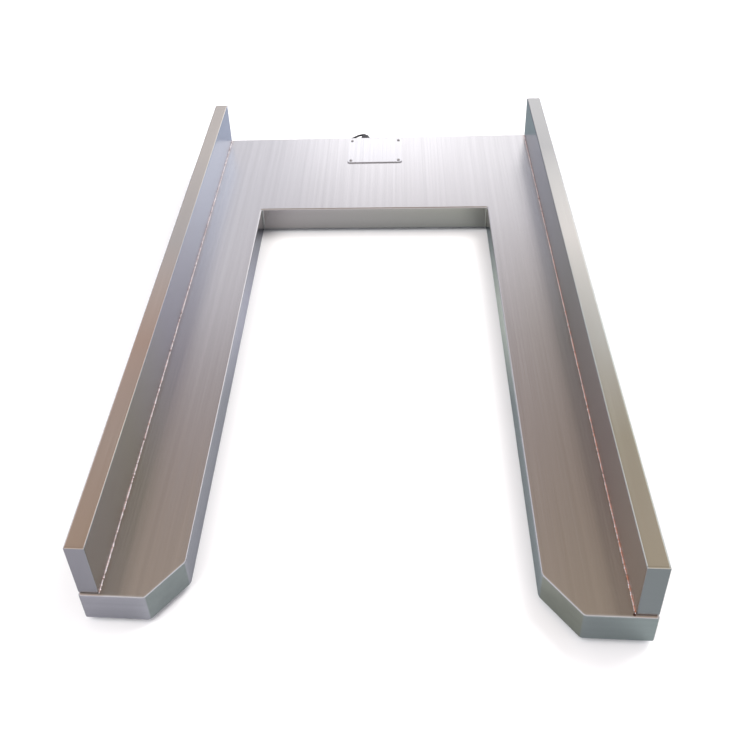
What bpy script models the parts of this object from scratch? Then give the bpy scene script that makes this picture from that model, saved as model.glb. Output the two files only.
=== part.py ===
"""U-shaped pallet scale with side guards: every sub-part is one named object, in metres, +Z up.

The origin is on the floor at the centre of the footprint. +Y runs from the open front to the
closed rear beam, and +X to the right of someone who looks from the open front.
"""

import math

import bmesh
import bpy
from mathutils import Matrix, Vector

# Platform
LENGTH = 1.450
WIDTH = 0.900
BOX_HEIGHT = 0.062
CLEARANCE = 0.012
DECK_TOP = CLEARANCE + BOX_HEIGHT
ARM_WIDTH = 0.165
BEAM_DEPTH = 0.360
CHAMFER_ACROSS = 0.055
CHAMFER_ALONG = 0.068
SHEET = 0.003
BOTTOM_SHEET = 0.002
CORNER_RADIUS = 0.0045
TOP_BEND = 0.004
BOTTOM_BEND = 0.002
GAP = 0.0003
OVERSHOOT = 0.005  # how far a cutter runs past what it cuts
OVERLAP = 0.001  # how far two shapes that are joined run into each other
HALF_L = LENGTH / 2
HALF_W = WIDTH / 2
ARM_INNER = HALF_W - ARM_WIDTH
ARM_CENTRE = HALF_W - ARM_WIDTH / 2
BEAM_FRONT = HALF_L - BEAM_DEPTH
DECK_UNDER = DECK_TOP - SHEET
FLOOR_PLATE_TOP = CLEARANCE + BOTTOM_SHEET + GAP

# Side guards
GUARD_WIDTH = 0.034
GUARD_HEIGHT = 0.116
GUARD_WALL = 0.002
GUARD_RADIUS = 0.003
GUARD_CAP = 0.003
GUARD_CAP_EDGE = 0.0018
GUARD_SETBACK = 0.0045
GUARD_END = HALF_L - GUARD_SETBACK
GUARD_INNER = HALF_W - GUARD_WIDTH
WELD_LEG = 0.003

# Stiffening channels, open downwards
CHANNEL_WIDTH = 0.080
CHANNEL_HEIGHT = 0.042
CHANNEL_WALL = 0.003
ARM_CHANNEL_LENGTH = 0.860
ARM_CHANNEL_Y = -0.070
CROSS_CHANNEL_LENGTH = 0.500
CROSS_CHANNEL_Y = BEAM_FRONT + 0.080

# Shear-beam load cells: distances run from the loaded end, which stands on the foot
CELL_LENGTH = 0.1302
CELL_SIDE = 0.0318
CELL_EDGE = 0.001
FOOT_HOLE_AT = 0.0159
BOLT_HOLES_AT = (0.0921, 0.1175)
CELL_RECESS = (0.030, 0.018, 0.005)
CELL_RECESS_AT = 0.054
BLOCK_HEIGHT = 0.012
BLOCK_LENGTH = 0.052
BLOCK_WIDTH = 0.060
CELL_TOP = DECK_UNDER - BLOCK_HEIGHT - 2 * GAP
CELL_BOTTOM = CELL_TOP - CELL_SIDE

# M12 fasteners and feet
THREAD_RADIUS = 0.006
CLEAR_HOLE_RADIUS = 0.0063
BOLT_HEAD_FLATS = 0.019
BOLT_HEAD_HEIGHT = 0.0075
BOLT_TOP = 0.069
LOCK_NUT_HEIGHT = 0.007
FOOT_X = 0.375
FOOT_Y = 0.645
FOOT_HOLE_RADIUS = 0.026
PAD_RADIUS = 0.022
PAD_EDGE_HEIGHT = 0.0055
PAD_BOSS_RADIUS = 0.0105
PAD_HEIGHT = 0.0115
SOCKET_BOTTOM = 0.005
PAD_EDGE = 0.001
PAD_SLOPE = 0.0015
PAD_SHOULDER = 0.003
STUD_TIP_RADIUS = 0.0055
STUD_COLLAR_FLATS = 0.017
STUD_COLLAR = (0.0120, 0.0162)
STUD_TOP = 0.055

# Junction bay and its cover
COVER_WIDTH = 0.149
COVER_DEPTH = 0.125
COVER_Y = HALF_L - 0.077
COVER_SHEET = 0.0015
COVER_RADIUS = 0.008
COVER_EDGE = 0.0006
COVER_RIM = 0.0012
GASKET_SHEET = 0.0007
GASKET_INSET = 0.0015
GASKET_TOP = DECK_TOP + GAP + GASKET_SHEET
COVER_TOP = GASKET_TOP + GAP + COVER_SHEET
BAY_WIDTH = 0.110
BAY_DEPTH = 0.086
BAY_RADIUS = 0.006
SCREW_X = 0.065
SCREW_Y = 0.053
SCREW_RADIUS = 0.002
SCREW_HOLE_RADIUS = 0.0024
SCREW_HEAD_RADIUS = 0.004
SCREW_HEAD_HEIGHT = 0.0022
SCREW_BOTTOM = 0.0625
SCREW_SOCKET_FLATS = 0.0025
SCREW_SOCKET_DEPTH = 0.0013
TRAY_WIDTH = 0.156
TRAY_WALL = 0.0015
TRAY_FRONT = COVER_Y - 0.062
TRAY_REAR = HALF_L - SHEET - 0.0015
TRAY_BOTTOM = 0.018
POST_RADIUS = 0.003
POST_TOP = 0.0240
BOARD_SIZE = (0.112, 0.078, 0.0016)
BOARD_Y = 0.6485
BOARD_BOTTOM = POST_TOP + GAP
BOARD_TOP = BOARD_BOTTOM + BOARD_SIZE[2]
POST_X = 0.050
POST_Y = 0.033
TERMINAL_WIDTH = 0.080
OUTPUT_TERMINAL_WIDTH = 0.040
TERMINAL_DEPTH = 0.010
TERMINAL_HEIGHT = 0.011
TERMINAL_PITCH = 0.008
TERMINAL_FRONT = 0.6155
TERMINAL_WELL_RADIUS = 0.0017
TERMINAL_WELL_DEPTH = 0.002
TERMINAL_MOUTH = (0.003, 0.004)
TERMINAL_MOUTH_HEIGHTS = (0.002, 0.005)
OUTPUT_TERMINAL_MARGIN = 0.004

# Cable gland in the rear wall, on an axis along Y
GLAND_X = -0.030
GLAND_Z = 0.055
GLAND_FLATS = 0.024
GLAND_THREAD_RADIUS = 0.0098
GLAND_HOLE_RADIUS = 0.0103
GLAND_THREAD_START = 0.7110
GLAND_BODY_END = 0.7450
GLAND_NECK_RADIUS = 0.0085
GLAND_NUT = (0.7309, 0.7530, 0.7590)
GLAND_NUT_BORE = 0.0090
GLAND_NUT_EDGE = 0.0015
GLAND_LOCK_NUT = (0.7128, 0.7187)

# Cables
CELL_CABLE_RADIUS = 0.0025
CELL_CABLE_Z = 0.030
CABLE_ENTRY_X = (0.030, 0.060)
CABLE_ENTRY_CLEARANCE = 0.0005
SIGNAL_RADIUS = 0.003
CABLE_BORE = SIGNAL_RADIUS + GAP
SIGNAL_START_Y = 0.699
ROUTE_STEPS = 24
COIL_X = -0.205
COIL_Y = HALF_L + 0.0555
COIL_MID_RADIUS = 0.036
COIL_WIDTH = 0.030
COIL_HEIGHT = 0.018
CONNECTOR_RADIUS = 0.0095
CONNECTOR_END = (-0.3250, 0.7620)
TAIL_ANGLE = math.radians(120)
TAIL_TURN_RADIUS = 0.030
TAIL_OUT = 0.0460
CONNECTOR_LENGTH = 0.048

ENDS = {"front": -1, "rear": 1}
SIDES = {"left": -1, "right": 1}
UP_Y = Matrix.Rotation(math.radians(-90), 4, "X")


# ---------------------------------------------------------------- materials

def material(name, colour, roughness, metallic=0.0):
    made = bpy.data.materials.get(name)
    if made is None:
        made = bpy.data.materials.new(name)
        made.use_nodes = True
        shader = made.node_tree.nodes["Principled BSDF"]
        shader.inputs["Base Color"].default_value = (*colour, 1.0)
        shader.inputs["Roughness"].default_value = roughness
        shader.inputs["Metallic"].default_value = metallic
    return made


def stainless():
    return material("brushed_stainless", (0.60, 0.59, 0.58), 0.30, 1.0)


def plain_steel():
    return material("plain_steel", (0.45, 0.45, 0.45), 0.45, 1.0)


def zinc_steel():
    return material("zinc_plated_steel", (0.62, 0.62, 0.60), 0.35, 1.0)


def nickel_steel():
    return material("nickel_plated_steel", (0.66, 0.64, 0.58), 0.25, 1.0)


def black_nylon():
    return material("black_nylon", (0.020, 0.020, 0.022), 0.45)


def black_rubber():
    return material("black_rubber", (0.018, 0.018, 0.018), 0.80)


def cable_jacket():
    return material("black_cable_jacket", (0.015, 0.015, 0.016), 0.50)


def grey_jacket():
    return material("grey_cable_jacket", (0.18, 0.18, 0.19), 0.55)


def board_green():
    return material("board_laminate", (0.02, 0.16, 0.06), 0.40)


def terminal_green():
    return material("terminal_plastic", (0.03, 0.30, 0.10), 0.45)


# ---------------------------------------------------------------- helpers

def clear_scene():
    for obj in list(bpy.data.objects):
        bpy.data.objects.remove(obj, do_unlink=True)


def add_object(name, data, finish=None, location=(0, 0, 0)):
    obj = bpy.data.objects.new(name, data)
    bpy.context.scene.collection.objects.link(obj)
    obj.location = location
    if finish is not None:
        data.materials.append(finish)
    return obj


def add_mesh(name, shape, finish=None, location=(0, 0, 0), smooth_angle=35):
    """Turns a bmesh into an object that faces outwards, shaded smooth across edges under smooth_angle."""
    if shape.calc_volume(signed=True) < 0:
        bmesh.ops.reverse_faces(shape, faces=shape.faces)
    mesh = bpy.data.meshes.new(name)
    shape.to_mesh(mesh)
    shape.free()
    mesh.shade_smooth()
    mesh.set_sharp_from_angle(angle=math.radians(smooth_angle))
    return add_object(name, mesh, finish, location)


def prism(outline, low, high, shape=None):
    """A closed upright prism on an outline of (x, y) points."""
    shape = shape or bmesh.new()
    lower = [shape.verts.new((x, y, low)) for x, y in outline]
    upper = [shape.verts.new((x, y, high)) for x, y in outline]
    shape.faces.new(reversed(lower))
    shape.faces.new(upper)
    for i in range(len(outline)):
        j = (i + 1) % len(outline)
        shape.faces.new((lower[i], lower[j], upper[j], upper[i]))
    return shape


def rectangle(width, depth, centre=(0, 0)):
    x, y = centre
    return [
        (x - width / 2, y - depth / 2),
        (x + width / 2, y - depth / 2),
        (x + width / 2, y + depth / 2),
        (x - width / 2, y + depth / 2),
    ]


def rounded_rectangle(width, depth, radius, centre=(0, 0), steps=4):
    points = []
    corners = ((-1, -1, 180), (1, -1, 270), (1, 1, 0), (-1, 1, 90))
    for sx, sy, start in corners:
        cx = centre[0] + sx * (width / 2 - radius)
        cy = centre[1] + sy * (depth / 2 - radius)
        for i in range(steps + 1):
            angle = math.radians(start + 90 * i / steps)
            points.append((cx + radius * math.cos(angle), cy + radius * math.sin(angle)))
    return points


def circle(radius, centre=(0, 0), sides=20):
    turn = 2 * math.pi / sides
    return [
        (centre[0] + radius * math.cos(i * turn), centre[1] + radius * math.sin(i * turn))
        for i in range(sides)
    ]


def hexagon(flats, centre=(0, 0)):
    return circle(flats / math.sqrt(3), centre, 6)


def turned(profile, sides=24):
    """A closed solid turned about Z from (radius, z) points that start and end on the axis."""
    shape = bmesh.new()
    rings = []
    for radius, z in profile:
        if radius == 0:
            rings.append([shape.verts.new((0, 0, z))])
        else:
            rings.append([shape.verts.new((x, y, z)) for x, y in circle(radius, sides=sides)])
    for first, second in zip(rings, rings[1:]):
        for i in range(sides):
            j = (i + 1) % sides
            corners = [first[i % len(first)], first[j % len(first)]]
            corners += [second[j % len(second)], second[i % len(second)]]
            unique = list(dict.fromkeys(corners))
            shape.faces.new(unique)
    return shape


def turned_ring(profile, sides=32):
    """A closed ring turned about Z from a closed loop of (radius, z) points."""
    shape = bmesh.new()
    rings = [
        [shape.verts.new((x, y, z)) for x, y in circle(radius, sides=sides)]
        for radius, z in profile
    ]
    for k in range(len(rings)):
        first, second = rings[k], rings[(k + 1) % len(rings)]
        for i in range(sides):
            j = (i + 1) % sides
            shape.faces.new((first[i], first[j], second[j], second[i]))
    return shape


def bevel(shape, chosen, width, steps):
    edges = [edge for edge in shape.edges if chosen(edge)]
    bmesh.ops.bevel(
        shape,
        geom=edges,
        offset=width,
        offset_type="OFFSET",
        segments=steps,
        profile=0.5,
        affect="EDGES",
    )


def at_height(z):
    return lambda edge: all(abs(v.co.z - z) < 1e-6 for v in edge.verts)


def upright(edge):
    first, second = (v.co for v in edge.verts)
    return abs(first.x - second.x) < 1e-6 and abs(first.y - second.y) < 1e-6


def combine(obj, other_shape, name, operation="DIFFERENCE", placing=None):
    """Adds a Boolean with a hidden helper solid, which is placed in the world by a matrix."""
    helper = add_mesh(name, other_shape)
    helper.data.transform(placing or Matrix.Identity(4))
    helper.hide_render = True
    helper.display_type = "WIRE"
    modifier = obj.modifiers.new(name, "BOOLEAN")
    modifier.operation = operation
    modifier.object = helper
    modifier.solver = "EXACT"


def offset_outline(points, inset):
    """Moves each side of a counter-clockwise outline inwards by inset, with mitred corners."""
    moved = []
    for i, point in enumerate(points):
        before = Vector(points[i - 1])
        here = Vector(point)
        after = Vector(points[(i + 1) % len(points)])
        first = (here - before).normalized()
        second = (after - here).normalized()
        inward_a = Vector((-first.y, first.x))
        inward_b = Vector((-second.y, second.x))
        shift = (inward_a + inward_b) / (1 + inward_a.dot(inward_b))
        moved.append(tuple(here + shift * inset))
    return moved


def smooth_route(points, spacing, lowest):
    """Points about `spacing` apart along a smooth curve through the given points, none under `lowest`."""
    route = [Vector(p) for p in points]
    route = [2 * route[0] - route[1]] + route + [2 * route[-1] - route[-2]]
    dense = []
    for a, b, c, d in zip(route, route[1:], route[2:], route[3:]):
        for i in range(ROUTE_STEPS):
            t = i / ROUTE_STEPS
            dense.append(
                0.5 * (2 * b + (c - a) * t + (2 * a - 5 * b + 4 * c - d) * t**2
                       + (3 * b - a - 3 * c + d) * t**3)
            )
    dense.append(route[-2])
    lengths = [0.0]
    for first, second in zip(dense, dense[1:]):
        lengths.append(lengths[-1] + (second - first).length)
    count = max(2, round(lengths[-1] / spacing))
    picked = []
    k = 0
    for i in range(count + 1):
        target = lengths[-1] * i / count
        while k < len(dense) - 2 and lengths[k + 1] < target:
            k += 1
        share = (target - lengths[k]) / max(lengths[k + 1] - lengths[k], 1e-9)
        place = dense[k].lerp(dense[k + 1], share)
        place.z = max(place.z, lowest)
        picked.append(place)
    return picked


def thinned(points, slack):
    """Leaves out each point that a straight stretch between its neighbours misses by less than `slack`."""
    kept = [points[0]]
    start = 0
    while start < len(points) - 1:
        end = start + 1
        while end + 1 < len(points):
            chord = (points[end + 1] - points[start]).normalized()
            passed = (point - points[start] for point in points[start + 1:end + 1])
            if any(offset.cross(chord).length > slack for offset in passed):
                break
            end += 1
        kept.append(points[end])
        start = end
    return kept


def tube(name, points, radius, finish):
    """A round cable through the points, with closed ends."""
    curve = bpy.data.curves.new(name, "CURVE")
    curve.dimensions = "3D"
    curve.bevel_depth = radius
    curve.bevel_resolution = 2
    curve.use_fill_caps = True
    spline = curve.splines.new("POLY")
    spline.points.add(len(points) - 1)
    for point, place in zip(spline.points, points):
        point.co = (*place, 1.0)
    return add_object(name, curve, finish)


# ---------------------------------------------------------------- platform

def platform_outline():
    """The U seen from above, counter-clockwise from the rear left corner."""
    tip = ARM_INNER + CHAMFER_ACROSS
    return [
        (-HALF_W, HALF_L),
        (-HALF_W, -HALF_L),
        (-tip, -HALF_L),
        (-ARM_INNER, -HALF_L + CHAMFER_ALONG),
        (-ARM_INNER, BEAM_FRONT),
        (ARM_INNER, BEAM_FRONT),
        (ARM_INNER, -HALF_L + CHAMFER_ALONG),
        (tip, -HALF_L),
        (HALF_W, -HALF_L),
        (HALF_W, HALF_L),
    ]


def foot_places():
    for end, along in ENDS.items():
        for side, across in SIDES.items():
            yield f"{end}_{side}", along, across * FOOT_X, along * FOOT_Y


def screw_places():
    for end, along in ENDS.items():
        for side, across in SIDES.items():
            yield f"{end}_{side}", (across * SCREW_X, COVER_Y + along * SCREW_Y)


def deck_shell():
    """One folded sheet: the deck, its outer and inner walls, and the bay opening under the cover."""
    outline = platform_outline()
    shape = prism(outline, CLEARANCE, DECK_TOP)
    bevel(shape, upright, CORNER_RADIUS, 2)
    bevel(shape, at_height(DECK_TOP), TOP_BEND, 3)
    bevel(shape, at_height(CLEARANCE), BOTTOM_BEND, 2)
    deck = add_mesh("deck_shell", shape, stainless())
    for side, across in SIDES.items():
        combine(deck, guard_weld(across), f"join_guard_weld_{side}", "UNION")
    inside = prism(offset_outline(outline, SHEET), CLEARANCE - SHEET, DECK_UNDER)
    combine(deck, inside, "cut_deck_inside")
    combine(deck, bay_cutter(DECK_UNDER - SHEET, DECK_TOP + SHEET), "cut_deck_openings")
    gland_hole = prism(circle(GLAND_HOLE_RADIUS), -2 * SHEET, SHEET)
    placing = Matrix.Translation((GLAND_X, HALF_L, GLAND_Z)) @ UP_Y
    combine(deck, gland_hole, "cut_deck_gland_hole", placing=placing)


def bay_cutter(low, high):
    """The bay opening and the four screw holes round it."""
    cutter = prism(rounded_rectangle(BAY_WIDTH, BAY_DEPTH, BAY_RADIUS, (0, COVER_Y)), low, high)
    for _, place in screw_places():
        prism(circle(SCREW_HOLE_RADIUS, place, 16), low, high, cutter)
    return cutter


def guard_weld(across):
    """The fillet weld on the deck along the inner foot of one guard."""
    foot_x = GUARD_INNER - GAP
    root = SHEET / 2
    section = [
        (foot_x, DECK_TOP - root),
        (foot_x, DECK_TOP + WELD_LEG),
        (foot_x - WELD_LEG - root, DECK_TOP - root),
    ]
    shape = prism([(across * x, z) for x, z in section], -GUARD_END, GUARD_END)
    shape.transform(Matrix.Rotation(math.radians(90), 4, "X"))
    return shape


def bottom_plate():
    outline = offset_outline(platform_outline(), SHEET + GAP)
    plate = add_mesh("bottom_plate", prism(outline, CLEARANCE + GAP, FLOOR_PLATE_TOP), stainless())
    holes = bmesh.new()
    for _, _, x, y in foot_places():
        prism(circle(FOOT_HOLE_RADIUS, (x, y), 24), 0, FLOOR_PLATE_TOP + SHEET, holes)
    combine(plate, holes, "cut_bottom_foot_holes")


# ---------------------------------------------------------------- side guards

def guard_outline(inset=0.0):
    """The guard's cross-section, in (x, height) about its own centre."""
    radius = GUARD_RADIUS - inset
    return rounded_rectangle(GUARD_WIDTH - 2 * inset, GUARD_HEIGHT - 2 * inset, radius, steps=3)


def side_guard(side, across):
    """A rectangular tube along the outer edge of one arm, and the two caps that close it."""
    centre = (across * (HALF_W - GUARD_WIDTH / 2), 0, DECK_TOP + GAP + GUARD_HEIGHT / 2)
    laid_down = Matrix.Rotation(math.radians(90), 4, "X")
    lying = Matrix.Translation(centre) @ laid_down
    reach = GUARD_END - GUARD_CAP - GAP
    shape = prism(guard_outline(), -reach, reach)
    shape.transform(lying)
    guard = add_mesh(f"guard_tube_{side}", shape, stainless())
    inside = prism(guard_outline(GUARD_WALL), -HALF_L, HALF_L)
    combine(guard, inside, f"cut_guard_inside_{side}", placing=lying)
    for end, along in ENDS.items():
        cap = prism(guard_outline(), GUARD_END - GUARD_CAP, GUARD_END)
        bevel(cap, at_height(GUARD_END), GUARD_CAP_EDGE, 3)
        facing = Matrix.Rotation(math.radians(0 if along < 0 else 180), 4, "Z")
        cap.transform(Matrix.Translation(centre) @ facing @ laid_down)
        add_mesh(f"guard_cap_{end}_{side}", cap, stainless())


# ---------------------------------------------------------------- frame inside the box

def channel(name, length, placing):
    """A channel along its own Y, open downwards, whose web lies under the deck."""
    top = DECK_UNDER - GAP
    shape = prism(rectangle(CHANNEL_WIDTH, length), top - CHANNEL_HEIGHT, top)
    shape.transform(placing)
    made = add_mesh(name, shape, stainless())
    inside = prism(
        rectangle(CHANNEL_WIDTH - 2 * CHANNEL_WALL, length + 2 * OVERSHOOT),
        top - CHANNEL_HEIGHT - OVERSHOOT,
        top - CHANNEL_WALL,
    )
    combine(made, inside, f"cut_{name}", placing=placing)


def stiffeners():
    for side, across in SIDES.items():
        placing = Matrix.Translation((across * ARM_CENTRE, ARM_CHANNEL_Y, 0))
        channel(f"arm_stiffener_{side}", ARM_CHANNEL_LENGTH, placing)
    across_the_beam = Matrix.Rotation(math.radians(90), 4, "Z")
    placing = Matrix.Translation((0, CROSS_CHANNEL_Y, 0)) @ across_the_beam
    channel("rear_cross_stiffener", CROSS_CHANNEL_LENGTH, placing)


def hole_cutter(places, radius, low, high):
    shape = bmesh.new()
    for place in places:
        prism(circle(radius, place, 20), low, high, shape)
    return shape


def load_cell_group(name, along, x, y):
    """A load cell, with its loaded end away from the centre, its block and its two bolts."""
    loaded_end = y + along * FOOT_HOLE_AT
    bolt_places = [(x, loaded_end - along * at) for at in BOLT_HOLES_AT]
    load_cell(name, along, x, loaded_end, [(x, y), *bolt_places])

    block_y = loaded_end - along * (CELL_LENGTH - BLOCK_LENGTH / 2)
    outline = rectangle(BLOCK_WIDTH, BLOCK_LENGTH, (x, block_y))
    shape = prism(outline, CELL_TOP + GAP, DECK_UNDER - GAP)
    block = add_mesh(f"cell_mount_block_{name}", shape, plain_steel())
    holes = hole_cutter(bolt_places, CLEAR_HOLE_RADIUS, CELL_TOP - OVERSHOOT, DECK_UNDER + OVERSHOOT)
    combine(block, holes, f"cut_block_holes_{name}")

    for where, place in zip(("inner", "outer"), reversed(bolt_places)):
        load_cell_bolt(f"cell_bolt_{where}_{name}", place)


def load_cell(name, along, x, loaded_end, hole_places):
    """A square beam with its holes upright and a recess in each side at its thin middle."""
    middle = loaded_end - along * CELL_LENGTH / 2
    shape = prism(rectangle(CELL_SIDE, CELL_LENGTH, (x, middle)), CELL_BOTTOM, CELL_TOP)
    bevel(shape, lambda edge: True, CELL_EDGE, 1)
    cell = add_mesh(f"load_cell_{name}", shape, nickel_steel())
    holes = hole_cutter(
        hole_places, CLEAR_HOLE_RADIUS, CELL_BOTTOM - OVERSHOOT, CELL_TOP + OVERSHOOT
    )
    combine(cell, holes, f"cut_cell_holes_{name}")
    length, height, depth = CELL_RECESS
    recesses = bmesh.new()
    for across in SIDES.values():
        centre = (x + across * CELL_SIDE / 2, loaded_end - along * CELL_RECESS_AT)
        mid_z = (CELL_BOTTOM + CELL_TOP) / 2
        prism(rectangle(2 * depth, length, centre), mid_z - height / 2, mid_z + height / 2, recesses)
    combine(cell, recesses, f"cut_cell_recesses_{name}")


def load_cell_bolt(name, place):
    """A hexagon bolt, head down, through the cell into its block."""
    head_top = CELL_BOTTOM - GAP
    head = prism(hexagon(BOLT_HEAD_FLATS), head_top - BOLT_HEAD_HEIGHT, head_top)
    bolt = add_mesh(name, head, zinc_steel(), (*place, 0))
    shank = prism(circle(THREAD_RADIUS, place, 20), head_top - 2 * OVERLAP, BOLT_TOP)
    combine(bolt, shank, f"join_{name}", "UNION")


# ---------------------------------------------------------------- feet

def foot(name, x, y):
    """A screw foot: the pad on the floor, the stud that turns in the load cell, and its lock nut."""
    pad_profile = [
        (0, 0),
        (PAD_RADIUS - PAD_EDGE, 0),
        (PAD_RADIUS, PAD_EDGE),
        (PAD_RADIUS, PAD_EDGE_HEIGHT),
        (PAD_BOSS_RADIUS + PAD_SHOULDER, PAD_EDGE_HEIGHT + PAD_SLOPE),
        (PAD_BOSS_RADIUS, PAD_HEIGHT),
        (STUD_TIP_RADIUS + GAP, PAD_HEIGHT),
        (STUD_TIP_RADIUS + GAP, SOCKET_BOTTOM - GAP),
        (0, SOCKET_BOTTOM - GAP),
    ]
    add_mesh(f"foot_pad_{name}", turned(pad_profile), black_nylon(), (x, y, 0))

    thread = prism(circle(THREAD_RADIUS), STUD_COLLAR[1] - OVERLAP, STUD_TOP)
    stud = add_mesh(f"foot_stud_{name}", thread, zinc_steel(), (x, y, 0))
    tip = prism(circle(STUD_TIP_RADIUS, (x, y)), SOCKET_BOTTOM, STUD_COLLAR[0] + OVERLAP)
    combine(stud, tip, f"join_stud_tip_{name}", "UNION")
    collar = prism(hexagon(STUD_COLLAR_FLATS, (x, y)), *STUD_COLLAR)
    combine(stud, collar, f"join_stud_collar_{name}", "UNION")

    nut_top = CELL_BOTTOM - GAP
    nut = add_mesh(
        f"foot_lock_nut_{name}",
        prism(hexagon(BOLT_HEAD_FLATS), nut_top - LOCK_NUT_HEIGHT, nut_top),
        zinc_steel(),
        (x, y, 0),
    )
    low = nut_top - LOCK_NUT_HEIGHT - OVERSHOOT
    bore = prism(circle(CLEAR_HOLE_RADIUS, (x, y), 20), low, nut_top + OVERSHOOT)
    combine(nut, bore, f"cut_lock_nut_{name}")


# ---------------------------------------------------------------- junction bay

def junction_tray():
    depth = TRAY_REAR - TRAY_FRONT
    middle = (0, (TRAY_REAR + TRAY_FRONT) / 2)
    top = DECK_UNDER - GAP
    shape = prism(rectangle(TRAY_WIDTH, depth, middle), TRAY_BOTTOM, top)
    tray = add_mesh("junction_tray", shape, stainless())
    inner = rectangle(TRAY_WIDTH - 2 * TRAY_WALL, depth - 2 * TRAY_WALL, middle)
    combine(tray, prism(inner, TRAY_BOTTOM + TRAY_WALL, top + OVERSHOOT), "cut_tray_inside")
    posts = bmesh.new()
    for along in ENDS.values():
        for across in SIDES.values():
            place = (across * POST_X, BOARD_Y + along * POST_Y)
            prism(circle(POST_RADIUS, place, 8), TRAY_BOTTOM + TRAY_WALL / 2, POST_TOP, posts)
    combine(tray, posts, "join_tray_posts", "UNION")
    entries = bmesh.new()
    entry_radius = CELL_CABLE_RADIUS + CABLE_ENTRY_CLEARANCE
    for x in CABLE_ENTRY_X:
        for across in SIDES.values():
            prism(circle(entry_radius, (across * x, 0), 16), -OVERSHOOT, OVERSHOOT, entries)
    placing = Matrix.Translation((0, TRAY_FRONT, CELL_CABLE_Z)) @ UP_Y
    combine(tray, entries, "cut_tray_entries", placing=placing)
    gland_hole = prism(circle(GLAND_HOLE_RADIUS), -OVERSHOOT, OVERLAP)
    placing = Matrix.Translation((GLAND_X, TRAY_REAR, GLAND_Z)) @ UP_Y
    combine(tray, gland_hole, "cut_tray_gland_hole", placing=placing)


def terminal_block(name, width, front, facing):
    """A row of screw terminals. Wire openings are in the side that faces `facing` along Y."""
    low = BOARD_TOP + GAP
    high = low + TERMINAL_HEIGHT
    middle_y = front + TERMINAL_DEPTH / 2
    shape = prism(rectangle(width, TERMINAL_DEPTH, (0, middle_y)), low, high)
    block = add_mesh(name, shape, terminal_green())
    ways = round(width / TERMINAL_PITCH)
    wells = bmesh.new()
    mouths = bmesh.new()
    mouth_y = front if facing < 0 else front + TERMINAL_DEPTH
    mouth_low, mouth_high = (low + z for z in TERMINAL_MOUTH_HEIGHTS)
    well_low = high - TERMINAL_WELL_DEPTH
    for i in range(ways):
        x = (i - (ways - 1) / 2) * TERMINAL_PITCH
        prism(circle(TERMINAL_WELL_RADIUS, (x, middle_y), 8), well_low, high + OVERSHOOT, wells)
        prism(rectangle(*TERMINAL_MOUTH, (x, mouth_y)), mouth_low, mouth_high, mouths)
    combine(block, wells, f"cut_{name}_wells")
    combine(block, mouths, f"cut_{name}_mouths")


def summing_board():
    width, depth, _ = BOARD_SIZE
    shape = prism(rectangle(width, depth, (0, BOARD_Y)), BOARD_BOTTOM, BOARD_TOP)
    add_mesh("summing_board", shape, board_green())
    terminal_block("cell_terminals", TERMINAL_WIDTH, TERMINAL_FRONT, -1)
    output_front = BOARD_Y + depth / 2 - TERMINAL_DEPTH - OUTPUT_TERMINAL_MARGIN
    terminal_block("output_terminals", OUTPUT_TERMINAL_WIDTH, output_front, 1)


def cover():
    """The lift-off cover with its turned-down rim, its gasket and its four button-head screws."""
    outline = rounded_rectangle(COVER_WIDTH, COVER_DEPTH, COVER_RADIUS, (0, COVER_Y), steps=5)
    low = GASKET_TOP + GAP
    shape = prism(outline, DECK_TOP + GAP, COVER_TOP)
    bevel(shape, at_height(COVER_TOP), COVER_EDGE, 2)
    plate = add_mesh("junction_cover", shape, stainless())
    width, depth = COVER_WIDTH - 2 * COVER_RIM, COVER_DEPTH - 2 * COVER_RIM
    pocket = rounded_rectangle(width, depth, COVER_RADIUS - COVER_RIM, (0, COVER_Y))
    combine(plate, prism(pocket, DECK_TOP - OVERSHOOT, low), "cut_cover_pocket")
    places = [place for _, place in screw_places()]
    holes = hole_cutter(places, SCREW_HOLE_RADIUS, low - OVERSHOOT, COVER_TOP + OVERSHOOT)
    combine(plate, holes, "cut_cover_screw_holes")

    width = COVER_WIDTH - 2 * GASKET_INSET
    depth = COVER_DEPTH - 2 * GASKET_INSET
    gasket_outline = rounded_rectangle(width, depth, COVER_RADIUS, (0, COVER_Y))
    shape = prism(gasket_outline, DECK_TOP + GAP, GASKET_TOP)
    gasket = add_mesh("cover_gasket", shape, black_rubber())
    window = bay_cutter(DECK_TOP - OVERSHOOT, GASKET_TOP + OVERSHOOT)
    combine(gasket, window, "cut_gasket_window")

    for name, place in screw_places():
        cover_screw(f"cover_screw_{name}", place)


def cover_screw(name, place):
    """A button-head screw with a hexagon socket."""
    seat = COVER_TOP + GAP
    top = seat + SCREW_HEAD_HEIGHT
    profile = [
        (0, SCREW_BOTTOM),
        (SCREW_RADIUS, SCREW_BOTTOM),
        (SCREW_RADIUS, seat),
        (SCREW_HEAD_RADIUS, seat),
        (SCREW_HEAD_RADIUS, seat + SCREW_HEAD_HEIGHT * 0.3),
        (SCREW_HEAD_RADIUS * 0.85, seat + SCREW_HEAD_HEIGHT * 0.75),
        (SCREW_HEAD_RADIUS * 0.55, top),
        (0, top),
    ]
    screw = add_mesh(name, turned(profile, 16), stainless(), (*place, 0))
    socket = prism(hexagon(SCREW_SOCKET_FLATS, place), top - SCREW_SOCKET_DEPTH, top + OVERSHOOT)
    combine(screw, socket, f"cut_{name}_socket")


# ---------------------------------------------------------------- gland and cables

def gland():
    """A cable gland through the rear wall."""
    placing = Matrix.Translation((GLAND_X, 0, GLAND_Z)) @ UP_Y
    gland_body(placing)
    gland_nut(placing)
    gland_lock_nut(placing)


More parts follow.
